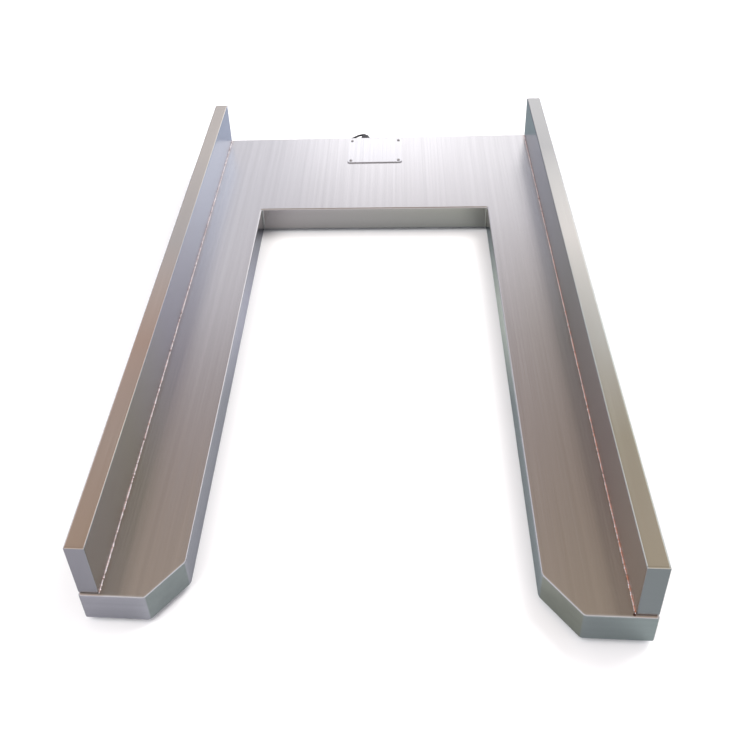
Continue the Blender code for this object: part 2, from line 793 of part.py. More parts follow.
def gland_body(placing):
    flange = (HALF_L + GAP, GLAND_NUT[0] - GAP)
    body_shape = prism(circle(GLAND_THREAD_RADIUS), GLAND_THREAD_START, flange[0] + OVERLAP)
    body_shape.transform(placing)
    body = add_mesh("gland_body", body_shape, black_nylon())
    combine(body, prism(hexagon(GLAND_FLATS), *flange), "join_gland_flange", "UNION", placing)
    neck = prism(circle(GLAND_NECK_RADIUS), flange[1] - OVERLAP, GLAND_BODY_END)
    combine(body, neck, "join_gland_neck", "UNION", placing)
    low = GLAND_THREAD_START - OVERSHOOT
    bore = prism(circle(CABLE_BORE, sides=16), low, GLAND_BODY_END + OVERSHOOT)
    combine(body, bore, "cut_gland_bore", placing=placing)


def gland_nut(placing):
    """The sealing nut outside the wall, with its dome."""
    start, shoulder, end = GLAND_NUT
    nut_shape = prism(hexagon(GLAND_FLATS), start, shoulder)
    bevel(nut_shape, upright, GLAND_NUT_EDGE, 2)
    nut_shape.transform(placing)
    nut = add_mesh("gland_nut", nut_shape, black_nylon())
    dome = turned([
        (0, shoulder - OVERLAP),
        (0.0112, shoulder - OVERLAP),
        (0.0105, shoulder + 0.002),
        (0.0085, end - 0.0015),
        (0.0055, end),
        (0, end),
    ])
    combine(nut, dome, "join_gland_dome", "UNION", placing)
    hollow = turned([
        (0, start - OVERSHOOT),
        (GLAND_NUT_BORE, start - OVERSHOOT),
        (GLAND_NUT_BORE, GLAND_BODY_END + GAP),
        (CABLE_BORE, GLAND_BODY_END + 0.004),
        (CABLE_BORE, end + OVERSHOOT),
        (0, end + OVERSHOOT),
    ])
    combine(nut, hollow, "cut_gland_nut_hollow", placing=placing)


def gland_lock_nut(placing):
    """The nut that holds the body from inside the tray."""
    lock_shape = prism(hexagon(GLAND_FLATS), *GLAND_LOCK_NUT)
    lock_shape.transform(placing)
    lock = add_mesh("gland_lock_nut", lock_shape, black_nylon())
    low, high = GLAND_LOCK_NUT
    lock_bore = prism(circle(GLAND_HOLE_RADIUS), low - OVERSHOOT, high + OVERSHOOT)
    combine(lock, lock_bore, "cut_gland_lock_nut", placing=placing)


def load_cell_cables():
    """Each cable leaves the fixed end of its load cell and enters the tray through its own hole."""
    exit_z = (CELL_BOTTOM + CELL_TOP) / 2
    exit_y = FOOT_Y + FOOT_HOLE_AT - CELL_LENGTH - 3 * GAP
    far_entry, near_entry = CABLE_ENTRY_X[1], CABLE_ENTRY_X[0]
    end_y = TERMINAL_FRONT - 0.003
    lying = FLOOR_PLATE_TOP + CELL_CABLE_RADIUS + GAP
    rear = [
        (-FOOT_X, exit_y, exit_z),
        (-FOOT_X, exit_y - 0.014, exit_z),
        (-FOOT_X + 0.022, exit_y - 0.036, exit_z - 0.003),
        (-0.290, 0.520, 0.036),
        (-0.180, 0.548, 0.032),
        (-0.100, 0.552, CELL_CABLE_Z),
        (-far_entry - 0.010, 0.563, CELL_CABLE_Z),
        (-far_entry, TRAY_FRONT - 0.012, CELL_CABLE_Z),
        (-far_entry, TRAY_FRONT - 0.003, CELL_CABLE_Z),
        (-far_entry, TRAY_FRONT + 0.004, CELL_CABLE_Z),
        (-far_entry, TRAY_FRONT + 0.010, CELL_CABLE_Z),
        (-far_entry + 0.022, end_y, CELL_CABLE_Z),
    ]
    front = [
        (-FOOT_X, -exit_y, exit_z),
        (-FOOT_X, -exit_y + 0.014, exit_z - 0.001),
        (-FOOT_X + 0.002, -exit_y + 0.045, 0.030),
        (-ARM_CENTRE, -exit_y + 0.090, lying),
        (-ARM_CENTRE + 0.010, -0.200, lying),
        (-ARM_CENTRE - 0.008, 0.050, lying),
        (-ARM_CENTRE + 0.006, 0.280, lying),
        (-0.350, 0.400, lying),
        (-0.290, 0.465, lying),
        (-0.180, 0.505, lying),
        (-0.080, 0.528, 0.021),
        (-near_entry - 0.008, 0.550, CELL_CABLE_Z - 0.001),
        (-near_entry, TRAY_FRONT - 0.012, CELL_CABLE_Z),
        (-near_entry, TRAY_FRONT - 0.003, CELL_CABLE_Z),
        (-near_entry, TRAY_FRONT + 0.004, CELL_CABLE_Z),
        (-near_entry, TRAY_FRONT + 0.010, CELL_CABLE_Z),
        (-near_entry + 0.010, end_y, CELL_CABLE_Z),
    ]
    for end, route in (("front", front), ("rear", rear)):
        for side, across in SIDES.items():
            placed = [(-across * x, y, z) for x, y, z in route]
            smooth = thinned(smooth_route(placed, 0.006, lying), GAP)
            tube(f"load_cell_cable_{end}_{side}", smooth, CELL_CABLE_RADIUS, grey_jacket())


def signal_cable():
    """The cable to the indicator: the run to the coil, the coil, and the tail to its connector."""
    join = COIL_MID_RADIUS + COIL_WIDTH / 2 - SIGNAL_RADIUS
    outer = COIL_MID_RADIUS + COIL_WIDTH / 2 + GAP
    reach = math.sqrt(outer**2 - (join - SIGNAL_RADIUS) ** 2)
    lying = SIGNAL_RADIUS + GAP
    run = [
        (GLAND_X, SIGNAL_START_Y, GLAND_Z),
        (GLAND_X, 0.732, GLAND_Z),
        (GLAND_X, GLAND_NUT[2] + 0.001, GLAND_Z),
        (GLAND_X, GLAND_NUT[2] + 0.007, GLAND_Z),
        (-0.034, 0.780, 0.051),
        (-0.050, 0.795, 0.040),
        (-0.075, 0.803, 0.024),
        (-0.105, 0.806, 0.010),
        (-0.132, 0.814, lying),
        (-0.158, 0.823, lying),
        (COIL_X + reach, COIL_Y + join, lying),
    ]
    tube("signal_cable", smooth_route(run, 0.0065, lying), SIGNAL_RADIUS, cable_jacket())

    across, up = COIL_WIDTH / 2, COIL_HEIGHT / 2
    section = [
        (COIL_MID_RADIUS + across * math.cos(a), GAP + up + up * math.sin(a))
        for a in (2 * math.pi * i / 10 for i in range(10))
    ]
    add_mesh("signal_cable_coil", turned_ring(section, 28), cable_jacket(), (COIL_X, COIL_Y, 0))

    end_x, end_y = CONNECTOR_END
    axis_z = CONNECTOR_RADIUS + GAP
    outward = Vector((math.cos(TAIL_ANGLE), math.sin(TAIL_ANGLE), 0))
    tangent = Vector((-outward.y, outward.x, 0))
    leaving = Vector((COIL_X, COIL_Y, 0)) + TAIL_TURN_RADIUS * outward
    tail = [
        leaving + tangent * TAIL_OUT + Vector((0, 0, 0.0150)),
        leaving + tangent * (TAIL_OUT + 0.013) + Vector((0, 0, 0.0085)),
        leaving + tangent * (TAIL_OUT + 0.028) + Vector((0, 0, 0.0045)),
        (-0.297, 0.7625, 0.0065),
        (end_x + 0.010, end_y, axis_z),
        (end_x - 0.006, end_y, axis_z),
    ]
    tube("signal_cable_tail", smooth_route(tail, 0.007, lying), SIGNAL_RADIUS, cable_jacket())
    signal_connector(end_x, end_y, axis_z)


def signal_connector(x, y, z):
    """A round connector that lies on the floor with its mating face towards -X."""
    profile = [
        (CABLE_BORE, 0),
        (0.0055, 0),
        (0.0065, 0.012),
        (0.0082, 0.014),
        (0.0082, 0.026),
        (CONNECTOR_RADIUS, 0.027),
        (CONNECTOR_RADIUS, CONNECTOR_LENGTH - 0.001),
        (CONNECTOR_RADIUS - 0.001, CONNECTOR_LENGTH),
        (0.0078, CONNECTOR_LENGTH),
        (0.0078, 0.038),
        (CABLE_BORE, 0.037),
    ]
    shape = turned_ring(profile, 20)
    shape.transform(Matrix.Translation((x, y, z)) @ Matrix.Rotation(math.radians(-90), 4, "Y"))
    add_mesh("signal_connector", shape, nickel_steel())


# ---------------------------------------------------------------- assembly

def build():
    clear_scene()
    deck_shell()
    bottom_plate()
    for side, across in SIDES.items():
        side_guard(side, across)
    stiffeners()
    for name, along, x, y in foot_places():
        load_cell_group(name, along, x, y)
        foot(name, x, y)
    junction_tray()
    summing_board()
    cover()
    gland()
    load_cell_cables()
    signal_cable()


build()
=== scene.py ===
"""Looks of the U-shaped pallet scale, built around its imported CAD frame.

Metres, +Z up, +Y to the closed rear beam.
"""

import math
import random

import bmesh
import bpy
from mathutils import Euler, Matrix, Vector


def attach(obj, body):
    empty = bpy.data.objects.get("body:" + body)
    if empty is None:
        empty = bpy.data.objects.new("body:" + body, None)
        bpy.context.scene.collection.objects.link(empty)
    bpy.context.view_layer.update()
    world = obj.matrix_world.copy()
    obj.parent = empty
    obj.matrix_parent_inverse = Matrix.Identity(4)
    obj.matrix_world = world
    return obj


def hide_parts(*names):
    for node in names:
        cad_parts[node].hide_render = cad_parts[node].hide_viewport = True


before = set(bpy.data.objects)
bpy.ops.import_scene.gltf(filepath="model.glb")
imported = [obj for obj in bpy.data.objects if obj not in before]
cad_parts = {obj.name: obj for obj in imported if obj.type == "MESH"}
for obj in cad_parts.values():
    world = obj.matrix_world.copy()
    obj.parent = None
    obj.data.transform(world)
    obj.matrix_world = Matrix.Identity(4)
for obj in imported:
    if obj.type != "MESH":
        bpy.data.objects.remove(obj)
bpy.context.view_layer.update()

# Platform, from the CAD part
LENGTH, WIDTH = 1.450, 0.900
HALF_L, HALF_W = LENGTH / 2, WIDTH / 2
BOTTOM, DECK_TOP = 0.012, 0.074
ARM_INNER, BEAM_FRONT = 0.285, 0.365
CHAMFER_ACROSS, CHAMFER_ALONG = 0.055, 0.068
SHEET, GAP = 0.003, 0.0003
TOP_BEND, BOTTOM_BEND, CORNER_RADIUS = 0.004, 0.002, 0.0045
GUARD_WIDTH, GUARD_HEIGHT, GUARD_WALL, GUARD_RADIUS, GUARD_CAP = 0.034, 0.116, 0.002, 0.003, 0.003
GUARD_END = HALF_L - 0.0045
GUARD_LOW = DECK_TOP + GAP
COVER_SIZE, COVER_Y = (0.149, 0.125), 0.648
COVER_LOW, COVER_TOP, COVER_RIM = 0.0753, 0.0768, 0.0012
BAY_SIZE, BAY_RADIUS = (0.110, 0.086), 0.006
SCREW_X, SCREW_Y, SCREW_HOLE = 0.065, 0.053, 0.0024
GLAND_X, GLAND_Z = -0.030, 0.055
FOOT_X, FOOT_Y = 0.375, 0.645
WELD_X = HALF_W - GUARD_WIDTH
CELL_BOTTOM = 0.0266
BOARD_TOP, BOARD_Y = 0.0259, 0.6485

CORNERS = {"front_left": (-1, -1), "front_right": (1, -1), "rear_left": (-1, 1), "rear_right": (1, 1)}
UP_Y = Matrix.Rotation(math.radians(-90), 4, "X")


# ---------------------------------------------------------------- camera and light

CAMERA_PLACE = (0.07461, -1.52651, 1.36866)
CAMERA_DEGREES = (55.624, 4.232, 5.102)
CAMERA_LENS, CAMERA_SHIFT = 43.246, (0.10228, -0.21835)


def add_camera():
    data = bpy.data.cameras.new("camera")
    data.lens = CAMERA_LENS
    data.shift_x, data.shift_y = CAMERA_SHIFT
    data.clip_start = 0.01
    made = bpy.data.objects.new("camera", data)
    made.location = CAMERA_PLACE
    made.rotation_euler = Euler([math.radians(a) for a in CAMERA_DEGREES])
    bpy.context.scene.collection.objects.link(made)
    bpy.context.scene.camera = made


class Graph:
    """Short calls for building one node tree."""

    def __init__(self, tree):
        self.tree = tree
        self.tree.nodes.clear()

    def add(self, kind, inputs=None, **settings):
        node = self.tree.nodes.new(kind)
        for name, value in settings.items():
            setattr(node, name, value)
        for name, value in (inputs or {}).items():
            self.set(node.inputs[name], value)
        return node

    def set(self, socket, value):
        if isinstance(value, bpy.types.NodeSocket):
            self.tree.links.new(value, socket)
        else:
            socket.default_value = value

    def math(self, operation, a, b=0.5):
        return self.add("ShaderNodeMath", {0: a, 1: b}, operation=operation).outputs[0]

    def product(self, first, *others):
        for other in others:
            first = self.math("MULTIPLY", first, other)
        return first

    def remap(self, value, low, high, to_low=0.0, to_high=1.0):
        inputs = {"Value": value, "From Min": low, "From Max": high, "To Min": to_low, "To Max": to_high}
        return self.add("ShaderNodeMapRange", inputs).outputs["Result"]

    def ramp(self, value, stops):
        node = self.add("ShaderNodeValToRGB", {"Fac": value})
        elements = node.color_ramp.elements
        while len(elements) < len(stops):
            elements.new(0.5)
        for element, (spot, colour) in zip(elements, stops):
            element.position = spot
            element.color = (*colour, 1.0)
        return node.outputs["Color"]

    def mix(self, factor, a, b, blend="MIX"):
        node = self.add("ShaderNodeMix", data_type="RGBA", blend_type=blend)
        for socket, value in ((node.inputs[0], factor), (node.inputs[6], a), (node.inputs[7], b)):
            self.set(socket, (*value, 1.0) if isinstance(value, tuple) and len(value) == 3 else value)
        return node.outputs[2]

    def times(self, colour, other):
        return self.mix(1.0, colour, other, "MULTIPLY")

    def tinted(self, amount, tint):
        """White, or the tint where the amount is 1."""
        return self.mix(amount, (1.0, 1.0, 1.0), tint)

    def split(self, vector):
        """The X, Y and Z of a vector."""
        return self.add("ShaderNodeSeparateXYZ", {0: vector}).outputs[:]

    def place(self):
        return self.add("ShaderNodeTexCoord").outputs["Object"]

    def normal(self, kind="Normal"):
        return self.add("ShaderNodeNewGeometry").outputs[kind]

    def noise(self, scale, detail=2.0, roughness=0.5, stretch=None):
        vector = self.place()
        if stretch:
            vector = self.add("ShaderNodeMapping", {"Vector": vector, "Scale": stretch}).outputs["Vector"]
        inputs = {"Vector": vector, "Scale": scale, "Detail": detail, "Roughness": roughness}
        return self.add("ShaderNodeTexNoise", inputs).outputs["Fac"]

    def bump(self, height, distance):
        bump = self.add("ShaderNodeBump", {"Height": height, "Distance": distance, "Strength": 1.0})
        return bump.outputs["Normal"]


def add_world():
    """The room that the steel mirrors: bright low behind the beam, dim and warm overhead."""
    world = bpy.data.worlds.new("studio")
    bpy.context.scene.world = world
    world.use_nodes = True
    g = Graph(world.node_tree)
    x, y, z = g.split(g.add("ShaderNodeTexCoord").outputs["Generated"])
    overhead = [
        (0.73, (0.43, 0.355, 0.34)), (0.79, (0.43, 0.35, 0.295)), (0.86, (0.52, 0.435, 0.355)),
        (1.00, (0.52, 0.45, 0.39)),
    ]
    left = g.ramp(z, [
        (0.00, (0.30, 0.31, 0.34)), (0.35, (0.62, 0.62, 0.68)), (0.495, (1.12, 1.13, 1.25)),
        (0.53, (0.80, 0.81, 0.90)), (0.56, (0.79, 0.80, 0.88)), (0.605, (1.10, 1.10, 1.20)),
        (0.664, (0.50, 0.48, 0.52)), (0.71, (0.42, 0.365, 0.362)), *overhead,
    ])
    middle = g.ramp(z, [
        (0.00, (0.60, 0.62, 0.68)), (0.41, (2.24, 2.26, 2.38)), (0.505, (2.24, 2.24, 2.36)),
        (0.545, (1.08, 1.08, 1.17)), (0.612, (0.82, 0.80, 0.85)), (0.667, (0.54, 0.50, 0.52)), *overhead,
    ])
    right = g.ramp(z, [
        (0.00, (0.60, 0.63, 0.72)), (0.37, (1.40, 1.42, 1.53)), (0.508, (1.58, 1.59, 1.68)),
        (0.566, (1.02, 1.01, 1.08)), (0.622, (0.68, 0.64, 0.67)), (0.670, (0.52, 0.46, 0.46)), *overhead,
    ])
    front = g.ramp(z, [
        (0.00, (0.50, 0.51, 0.56)), (0.24, (0.80, 0.80, 0.86)), (0.42, (1.15, 1.15, 1.23)),
        (0.62, (0.75, 0.73, 0.75)), (1.00, (0.50, 0.43, 0.38)),
    ])
    slope = g.remap(x, -0.178, -0.112, 0.0, 0.15)
    step = g.remap(x, -0.104, -0.078, 0.0, 0.85)
    back = g.mix(g.remap(x, 0.05, 0.13), g.mix(g.math("ADD", slope, step), left, middle), right)
    colour = g.mix(g.remap(y, -0.25, 0.35), front, back)
    panel = g.product(g.remap(g.math("ABSOLUTE", x), 0.55, 0.80), g.remap(z, 0.75, 0.45))
    colour = g.mix(panel, colour, (0.86, 0.88, 1.00))
    greys = (
        (0.25, 0.560), (0.35, 0.500), (0.40, 0.485), (0.432, 0.610), (0.465, 0.500), (0.58, 0.500),
        (0.625, 0.445), (0.655, 0.460), (0.70, 0.575), (0.75, 0.600),
    )
    sides = g.ramp(g.remap(x, -0.5, 0.5), [(spot, (grey, grey, grey)) for spot, grey in greys])
    seen = g.add("ShaderNodeLightPath").outputs["Is Camera Ray"]
    colour = g.mix(seen, g.times(colour, sides), (0.50, 0.50, 0.50))
    background = g.add("ShaderNodeBackground", {"Color": colour, "Strength": 2.0})
    g.add("ShaderNodeOutputWorld", {"Surface": background.outputs[0]})


def add_light(name, place, size, power):
    """A square soft light that points at the middle of the floor and doesn't show in the steel."""
    data = bpy.data.lights.new(name, "AREA")
    data.size = size
    data.energy = power
    made = bpy.data.objects.new(name, data)
    made.location = place
    made.rotation_euler = (-Vector(place)).to_track_quat("-Z", "Y").to_euler()
    made.visible_glossy = False
    bpy.context.scene.collection.objects.link(made)


def add_floor():
    """A white floor that the steel mirrors as a darker one: its colour in reflections is a painted shade
    graded across X, brightened by a painted pool of light in the middle of the U.
    """
    made = bpy.data.materials.new("studio_floor")
    made.use_nodes = True
    g = Graph(made.node_tree)
    seen = g.add("ShaderNodeLightPath").outputs["Is Camera Ray"]
    x, y, _ = g.split(g.place())
    # Painted reflection of the floor: every ray but the camera's sees it darker and graded across X, and a
    # painted pool of light brightens the middle of the U.
    mirrored = g.mix(g.remap(x, -0.7, 0.7), (0.412, 0.415, 0.485), (0.228, 0.296, 0.286))
    painted_light_pool = g.mix(g.remap(x, -0.25, 0.25), (1.40, 1.38, 1.45), (1.90, 1.85, 1.65))
    away = g.math("ABSOLUTE", g.math("SUBTRACT", y, 0.05))
    painted_light_pool = g.mix(g.remap(away, 0.05, 0.27), painted_light_pool, (1.0, 1.0, 1.0))
    colour = g.mix(seen, g.times(mirrored, painted_light_pool), (0.92, 0.92, 0.92))
    matte = g.add("ShaderNodeBsdfDiffuse", {"Color": colour})
    g.add("ShaderNodeOutputMaterial", {"Surface": matte.outputs[0]})
    shape = bmesh.new()
    bmesh.ops.create_grid(shape, x_segments=1, y_segments=1, size=12.0)
    mesh = bpy.data.meshes.new("studio_floor")
    shape.to_mesh(mesh)
    shape.free()
    mesh.materials.append(made)
    floor = bpy.data.objects.new("studio_floor", mesh)
    floor.location = (0, 0, -0.0002)
    bpy.context.scene.collection.objects.link(floor)


def add_studio():
    bpy.context.scene.view_settings.view_transform = "Standard"
    add_world()
    add_floor()
    add_light("key", (2.4, 1.8, 4.2), 3.0, 190)
    add_light("fill", (-2.6, -2.4, 4.4), 3.4, 160)


# ---------------------------------------------------------------- materials

FINISHES = {}
SLOTS = {
    "nylon": "black_nylon", "rubber": "black_rubber", "jacket": "black_cable_jacket",
    "zinc": "zinc_plated_steel", "nickel": "nickel_plated_steel", "blue": "terminal_plastic",
    "beige": "terminal_plastic", "black": "black_nylon",
}


def surface(name, colour, roughness, normal, metallic=0.0, tangent=None, anisotropic=0.0):
    """A Principled material. Colour, roughness, normal and tangent are functions that build their nodes."""
    made = bpy.data.materials.new(name)
    made.use_nodes = True
    g = Graph(made.node_tree)
    shader = g.add("ShaderNodeBsdfPrincipled")
    g.add("ShaderNodeOutputMaterial", {"Surface": shader.outputs[0]})
    g.set(shader.inputs["Base Color"], colour(g))
    g.set(shader.inputs["Roughness"], roughness(g))
    g.set(shader.inputs["Normal"], normal(g))
    shader.inputs["Metallic"].default_value = metallic
    if tangent:
        g.set(shader.inputs["Tangent"], tangent(g))
        shader.inputs["Anisotropic"].default_value = anisotropic
    return made


def facing_y(g):
    """1 on faces that look along Y, where the brushing runs across, and 0 elsewhere."""
    _, along, _ = g.split(g.normal("True Normal"))
    return g.math("GREATER_THAN", g.math("ABSOLUTE", along), 0.7)


def grain(g, across, along):
    """Noise drawn out along the brushing: `across` and `along` are its scales."""
    lengthways = g.noise(1.0, 3.0, 0.6, (across, along, across))
    crossways = g.noise(1.0, 3.0, 0.6, (along, across, across))
    return g.mix(facing_y(g), lengthways, crossways)


def brushed_colour(base, tint, strength):
    def colour(g):
        streaks = g.remap(grain(g, 700.0, 2.5), 0.3, 0.7, 1.0 - strength, 1.0 + strength)
        bands = g.remap(grain(g, 80.0, 0.35), 0.3, 0.7, 1.0 - 2.0 * strength, 1.0 + 2.0 * strength)
        return g.times(g.mix(g.noise(3.0, 3.0), base, tint), g.product(streaks, bands))
    return colour


def guard_colour_with_painted_reflections(top, flank, end):
    """Brushed steel with painted reflections for a guard's top, its flanks and its end faces: strong colour
    grades that stand in for the room's light on the steel.

    Lists run from rear to front.
    """
    def colour(g):
        forward = g.remap(g.split(g.place())[1], HALF_L, -HALF_L)
        _, facing_along, facing_up = g.split(g.normal())
        # Painted reflections: the flank, end and top colours are graded rear to front and by face to stand in
        # for how the room's light falls on the guard.
        tint = g.mix(g.remap(facing_along, -0.5, -0.9), g.ramp(forward, flank), end)
        tint = g.mix(g.remap(facing_up, 0.3, 0.95), tint, g.ramp(forward, top))
        return g.times(tint, g.remap(grain(g, 700.0, 2.5), 0.3, 0.7, 0.98, 1.02))
    return colour


def deck_colour(g):
    """Brushed steel with a straw-coloured heat tint beside each guard weld.

    Four kinds of face (the left and right chamfers, the rear beam's inner face and the top of the right arm
    towards the front) carry painted reflections: light tints that stand in for how the room's light falls
    there.
    """
    plain = brushed_colour((0.60, 0.585, 0.58), (0.575, 0.555, 0.545), 0.022)(g)
    x, y, z = g.split(g.place())
    facing_x, facing_along, _ = g.split(g.normal())
    on_top = g.math("GREATER_THAN", z, DECK_TOP - 0.0015)
    wander = g.noise(28.0, 3.0)
    reach = g.remap(wander, 0.3, 0.7, WELD_X - 0.012, WELD_X - 0.006)
    near = g.remap(g.math("ABSOLUTE", x), reach, WELD_X - 0.001)
    straw = g.mix(wander, (0.47, 0.38, 0.32), (0.52, 0.45, 0.41))
    heated = g.mix(g.product(near, 0.6, on_top), plain, straw)
    # Painted reflections: the chamfer faces, the rear beam's inner face and the right arm's top are tinted to
    # stand in for how the room's light falls on them.
    sideways = g.remap(g.math("ABSOLUTE", facing_x), 0.45, 0.65)
    slanted = g.product(sideways, g.remap(facing_along, -0.45, -0.65))
    chamfer_painted_reflection = g.mix(g.remap(x, -0.1, 0.1), (0.65, 0.73, 0.65), (1.00, 0.94, 0.78))
    inside = g.product(g.remap(facing_along, -0.8, -0.95), g.remap(y, 0.2, 0.3))
    right_arm = g.product(g.remap(x, 0.25, 0.35), g.remap(y, 0.30, -0.10), on_top)
    colour = g.times(heated, g.tinted(slanted, chamfer_painted_reflection))
    colour = g.times(colour, g.tinted(inside, (0.97, 0.91, 0.84)))
    return g.times(colour, g.tinted(right_arm, (0.925, 0.92, 0.88)))


def weld_colour(g):
    """Bright weld metal, with a copper tint on the side of the guard that grows towards the front right."""
    bright = g.ramp(g.noise(1.0, 1.0, stretch=(60, 300, 60)), [
        (0.32, (0.18, 0.14, 0.14)), (0.42, (0.70, 0.62, 0.60)), (0.50, (0.96, 0.94, 0.93)),
        (0.62, (0.88, 0.80, 0.77)), (0.72, (0.60, 0.42, 0.36)),
    ])
    x, y, z = g.split(g.place())
    climb = g.remap(z, DECK_TOP + 0.0004, DECK_TOP + 0.0014)
    amount = g.product(climb, g.remap(x, -0.1, 0.1, 0.25, 0.85), g.remap(y, 0.55, -0.45, 0.35, 1.0))
    return g.mix(amount, bright, (0.78, 0.36, 0.22))


def across_grain(g):
    """The direction across the brushing, along which highlights spread."""
    lie = g.mix(facing_y(g), (0.0, 1.0, 0.0), (1.0, 0.0, 0.0))
    return g.add("ShaderNodeVectorMath", {0: g.normal(), 1: lie}, operation="CROSS_PRODUCT").outputs["Vector"]


def brushed(name, colour, depth=0.00001, low=0.20, high=0.27, anisotropic=0.5):
    """Steel brushed along Y, or across on faces that look along Y."""
    def roughness(g):
        return g.remap(grain(g, 420.0, 3.0), 0.3, 0.7, low, high)

    def normal(g):
        return g.bump(g.math("ADD", grain(g, 900.0, 6.0), g.product(grain(g, 90.0, 1.2), 1.5)), depth)

    return surface(name, colour, roughness, normal, 1.0, across_grain, anisotropic)


def mottled(name, dark, light, spots, roughness, dents, metallic=0.0, share=(0.3, 0.7)):
    """Two mottled colours.

    Spots and dents hold noise scale and detail, roughness holds scale, low and high.
    """
    scale, low, high = roughness
    depth, *pits = dents
    return surface(
        name,
        lambda g: g.ramp(g.noise(*spots), [(share[0], dark), (share[1], light)]),
        lambda g: g.remap(g.noise(scale), 0.3, 0.7, low, high),
        lambda g: g.bump(g.noise(*pits), depth),
        metallic,
    )


# Painted reflections for each guard, colours that stand in for the room's light on the steel. From rear to
# front: the tops, the flanks, and the end faces
GUARD_PAINTED_REFLECTIONS = {
    "left": (
        [(0.18, (0.505, 0.460, 0.400)), (0.45, (0.440, 0.405, 0.365)), (0.68, (0.500, 0.378, 0.300)),
         (0.85, (0.610, 0.526, 0.448)), (0.97, (0.625, 0.536, 0.455))],
        [(0.28, (0.481, 0.531, 0.632)), (0.60, (0.424, 0.445, 0.525)), (0.82, (0.434, 0.452, 0.390)),
         (0.96, (0.459, 0.471, 0.453))],
        (0.445, 0.430, 0.420),
    ),
    "right": (
        [(0.18, (0.393, 0.386, 0.366)), (0.44, (0.695, 0.671, 0.608)), (0.67, (0.633, 0.659, 0.598)),
         (0.83, (0.572, 0.579, 0.468)), (0.95, (0.612, 0.617, 0.526))],
        [(0.22, (0.155, 0.173, 0.212)), (0.53, (0.167, 0.168, 0.154)), (0.81, (0.429, 0.376, 0.375)),
         (0.95, (0.600, 0.550, 0.520))],
        (0.475, 0.435, 0.445),
    ),
}
MOTTLED = {
    "nylon": ("black_nylon_moulded", (0.016, 0.016, 0.018), (0.026, 0.026, 0.028), (40.0,),
              (500.0, 0.38, 0.55),
              (0.00005, 2200.0)),
    "rubber": ("black_rubber_sheet", (0.014, 0.014, 0.014), (0.026, 0.025, 0.024), (60.0,),
               (400.0, 0.70, 0.90),
               (0.00012, 1500.0, 3.0)),
    "jacket": ("cable_jacket", (0.012, 0.012, 0.013), (0.022, 0.022, 0.023), (50.0,), (300.0, 0.40, 0.58),
               (0.00004, 1800.0)),
    "grey_jacket": ("grey_cable_jacket_pvc", (0.15, 0.15, 0.16), (0.20, 0.20, 0.21), (50.0,),
                    (300.0, 0.45, 0.62),
                    (0.00004, 1800.0)),
    "terminal": ("green_terminal_plastic", (0.02, 0.26, 0.08), (0.04, 0.34, 0.12), (60.0,),
                 (400.0, 0.36, 0.50),
                 (0.00004, 1500.0)),
    "brass": ("brass_screws", (0.60, 0.42, 0.16), (0.72, 0.54, 0.24), (300.0,), (900.0, 0.25, 0.40),
              (0.00002, 2000.0), 1.0),
    "oxide": ("burnt_weld_oxide", (0.010, 0.006, 0.005), (0.10, 0.035, 0.020), (900.0, 3.0),
              (900.0, 0.55, 0.80),
              (0.0002, 1800.0, 3.0), 0.0, (0.35, 0.7)),
    "zinc": ("zinc_plate", (0.60, 0.61, 0.62), (0.66, 0.65, 0.60), (90.0, 3.0), (300.0, 0.28, 0.42),
             (0.00003, 1200.0), 1.0, (0.35, 0.65)),
}
PLASTICS = {
    "blue": ((0.010, 0.055, 0.30), (0.020, 0.090, 0.42)),
    "beige": ((0.48, 0.34, 0.20), (0.60, 0.46, 0.30)),
    "red": ((0.42, 0.010, 0.012), (0.55, 0.020, 0.022)),
    "white": ((0.66, 0.66, 0.64), (0.80, 0.80, 0.78)),
    "green": ((0.010, 0.22, 0.045), (0.020, 0.32, 0.080)),
    "black": ((0.012, 0.012, 0.013), (0.024, 0.024, 0.026)),
}


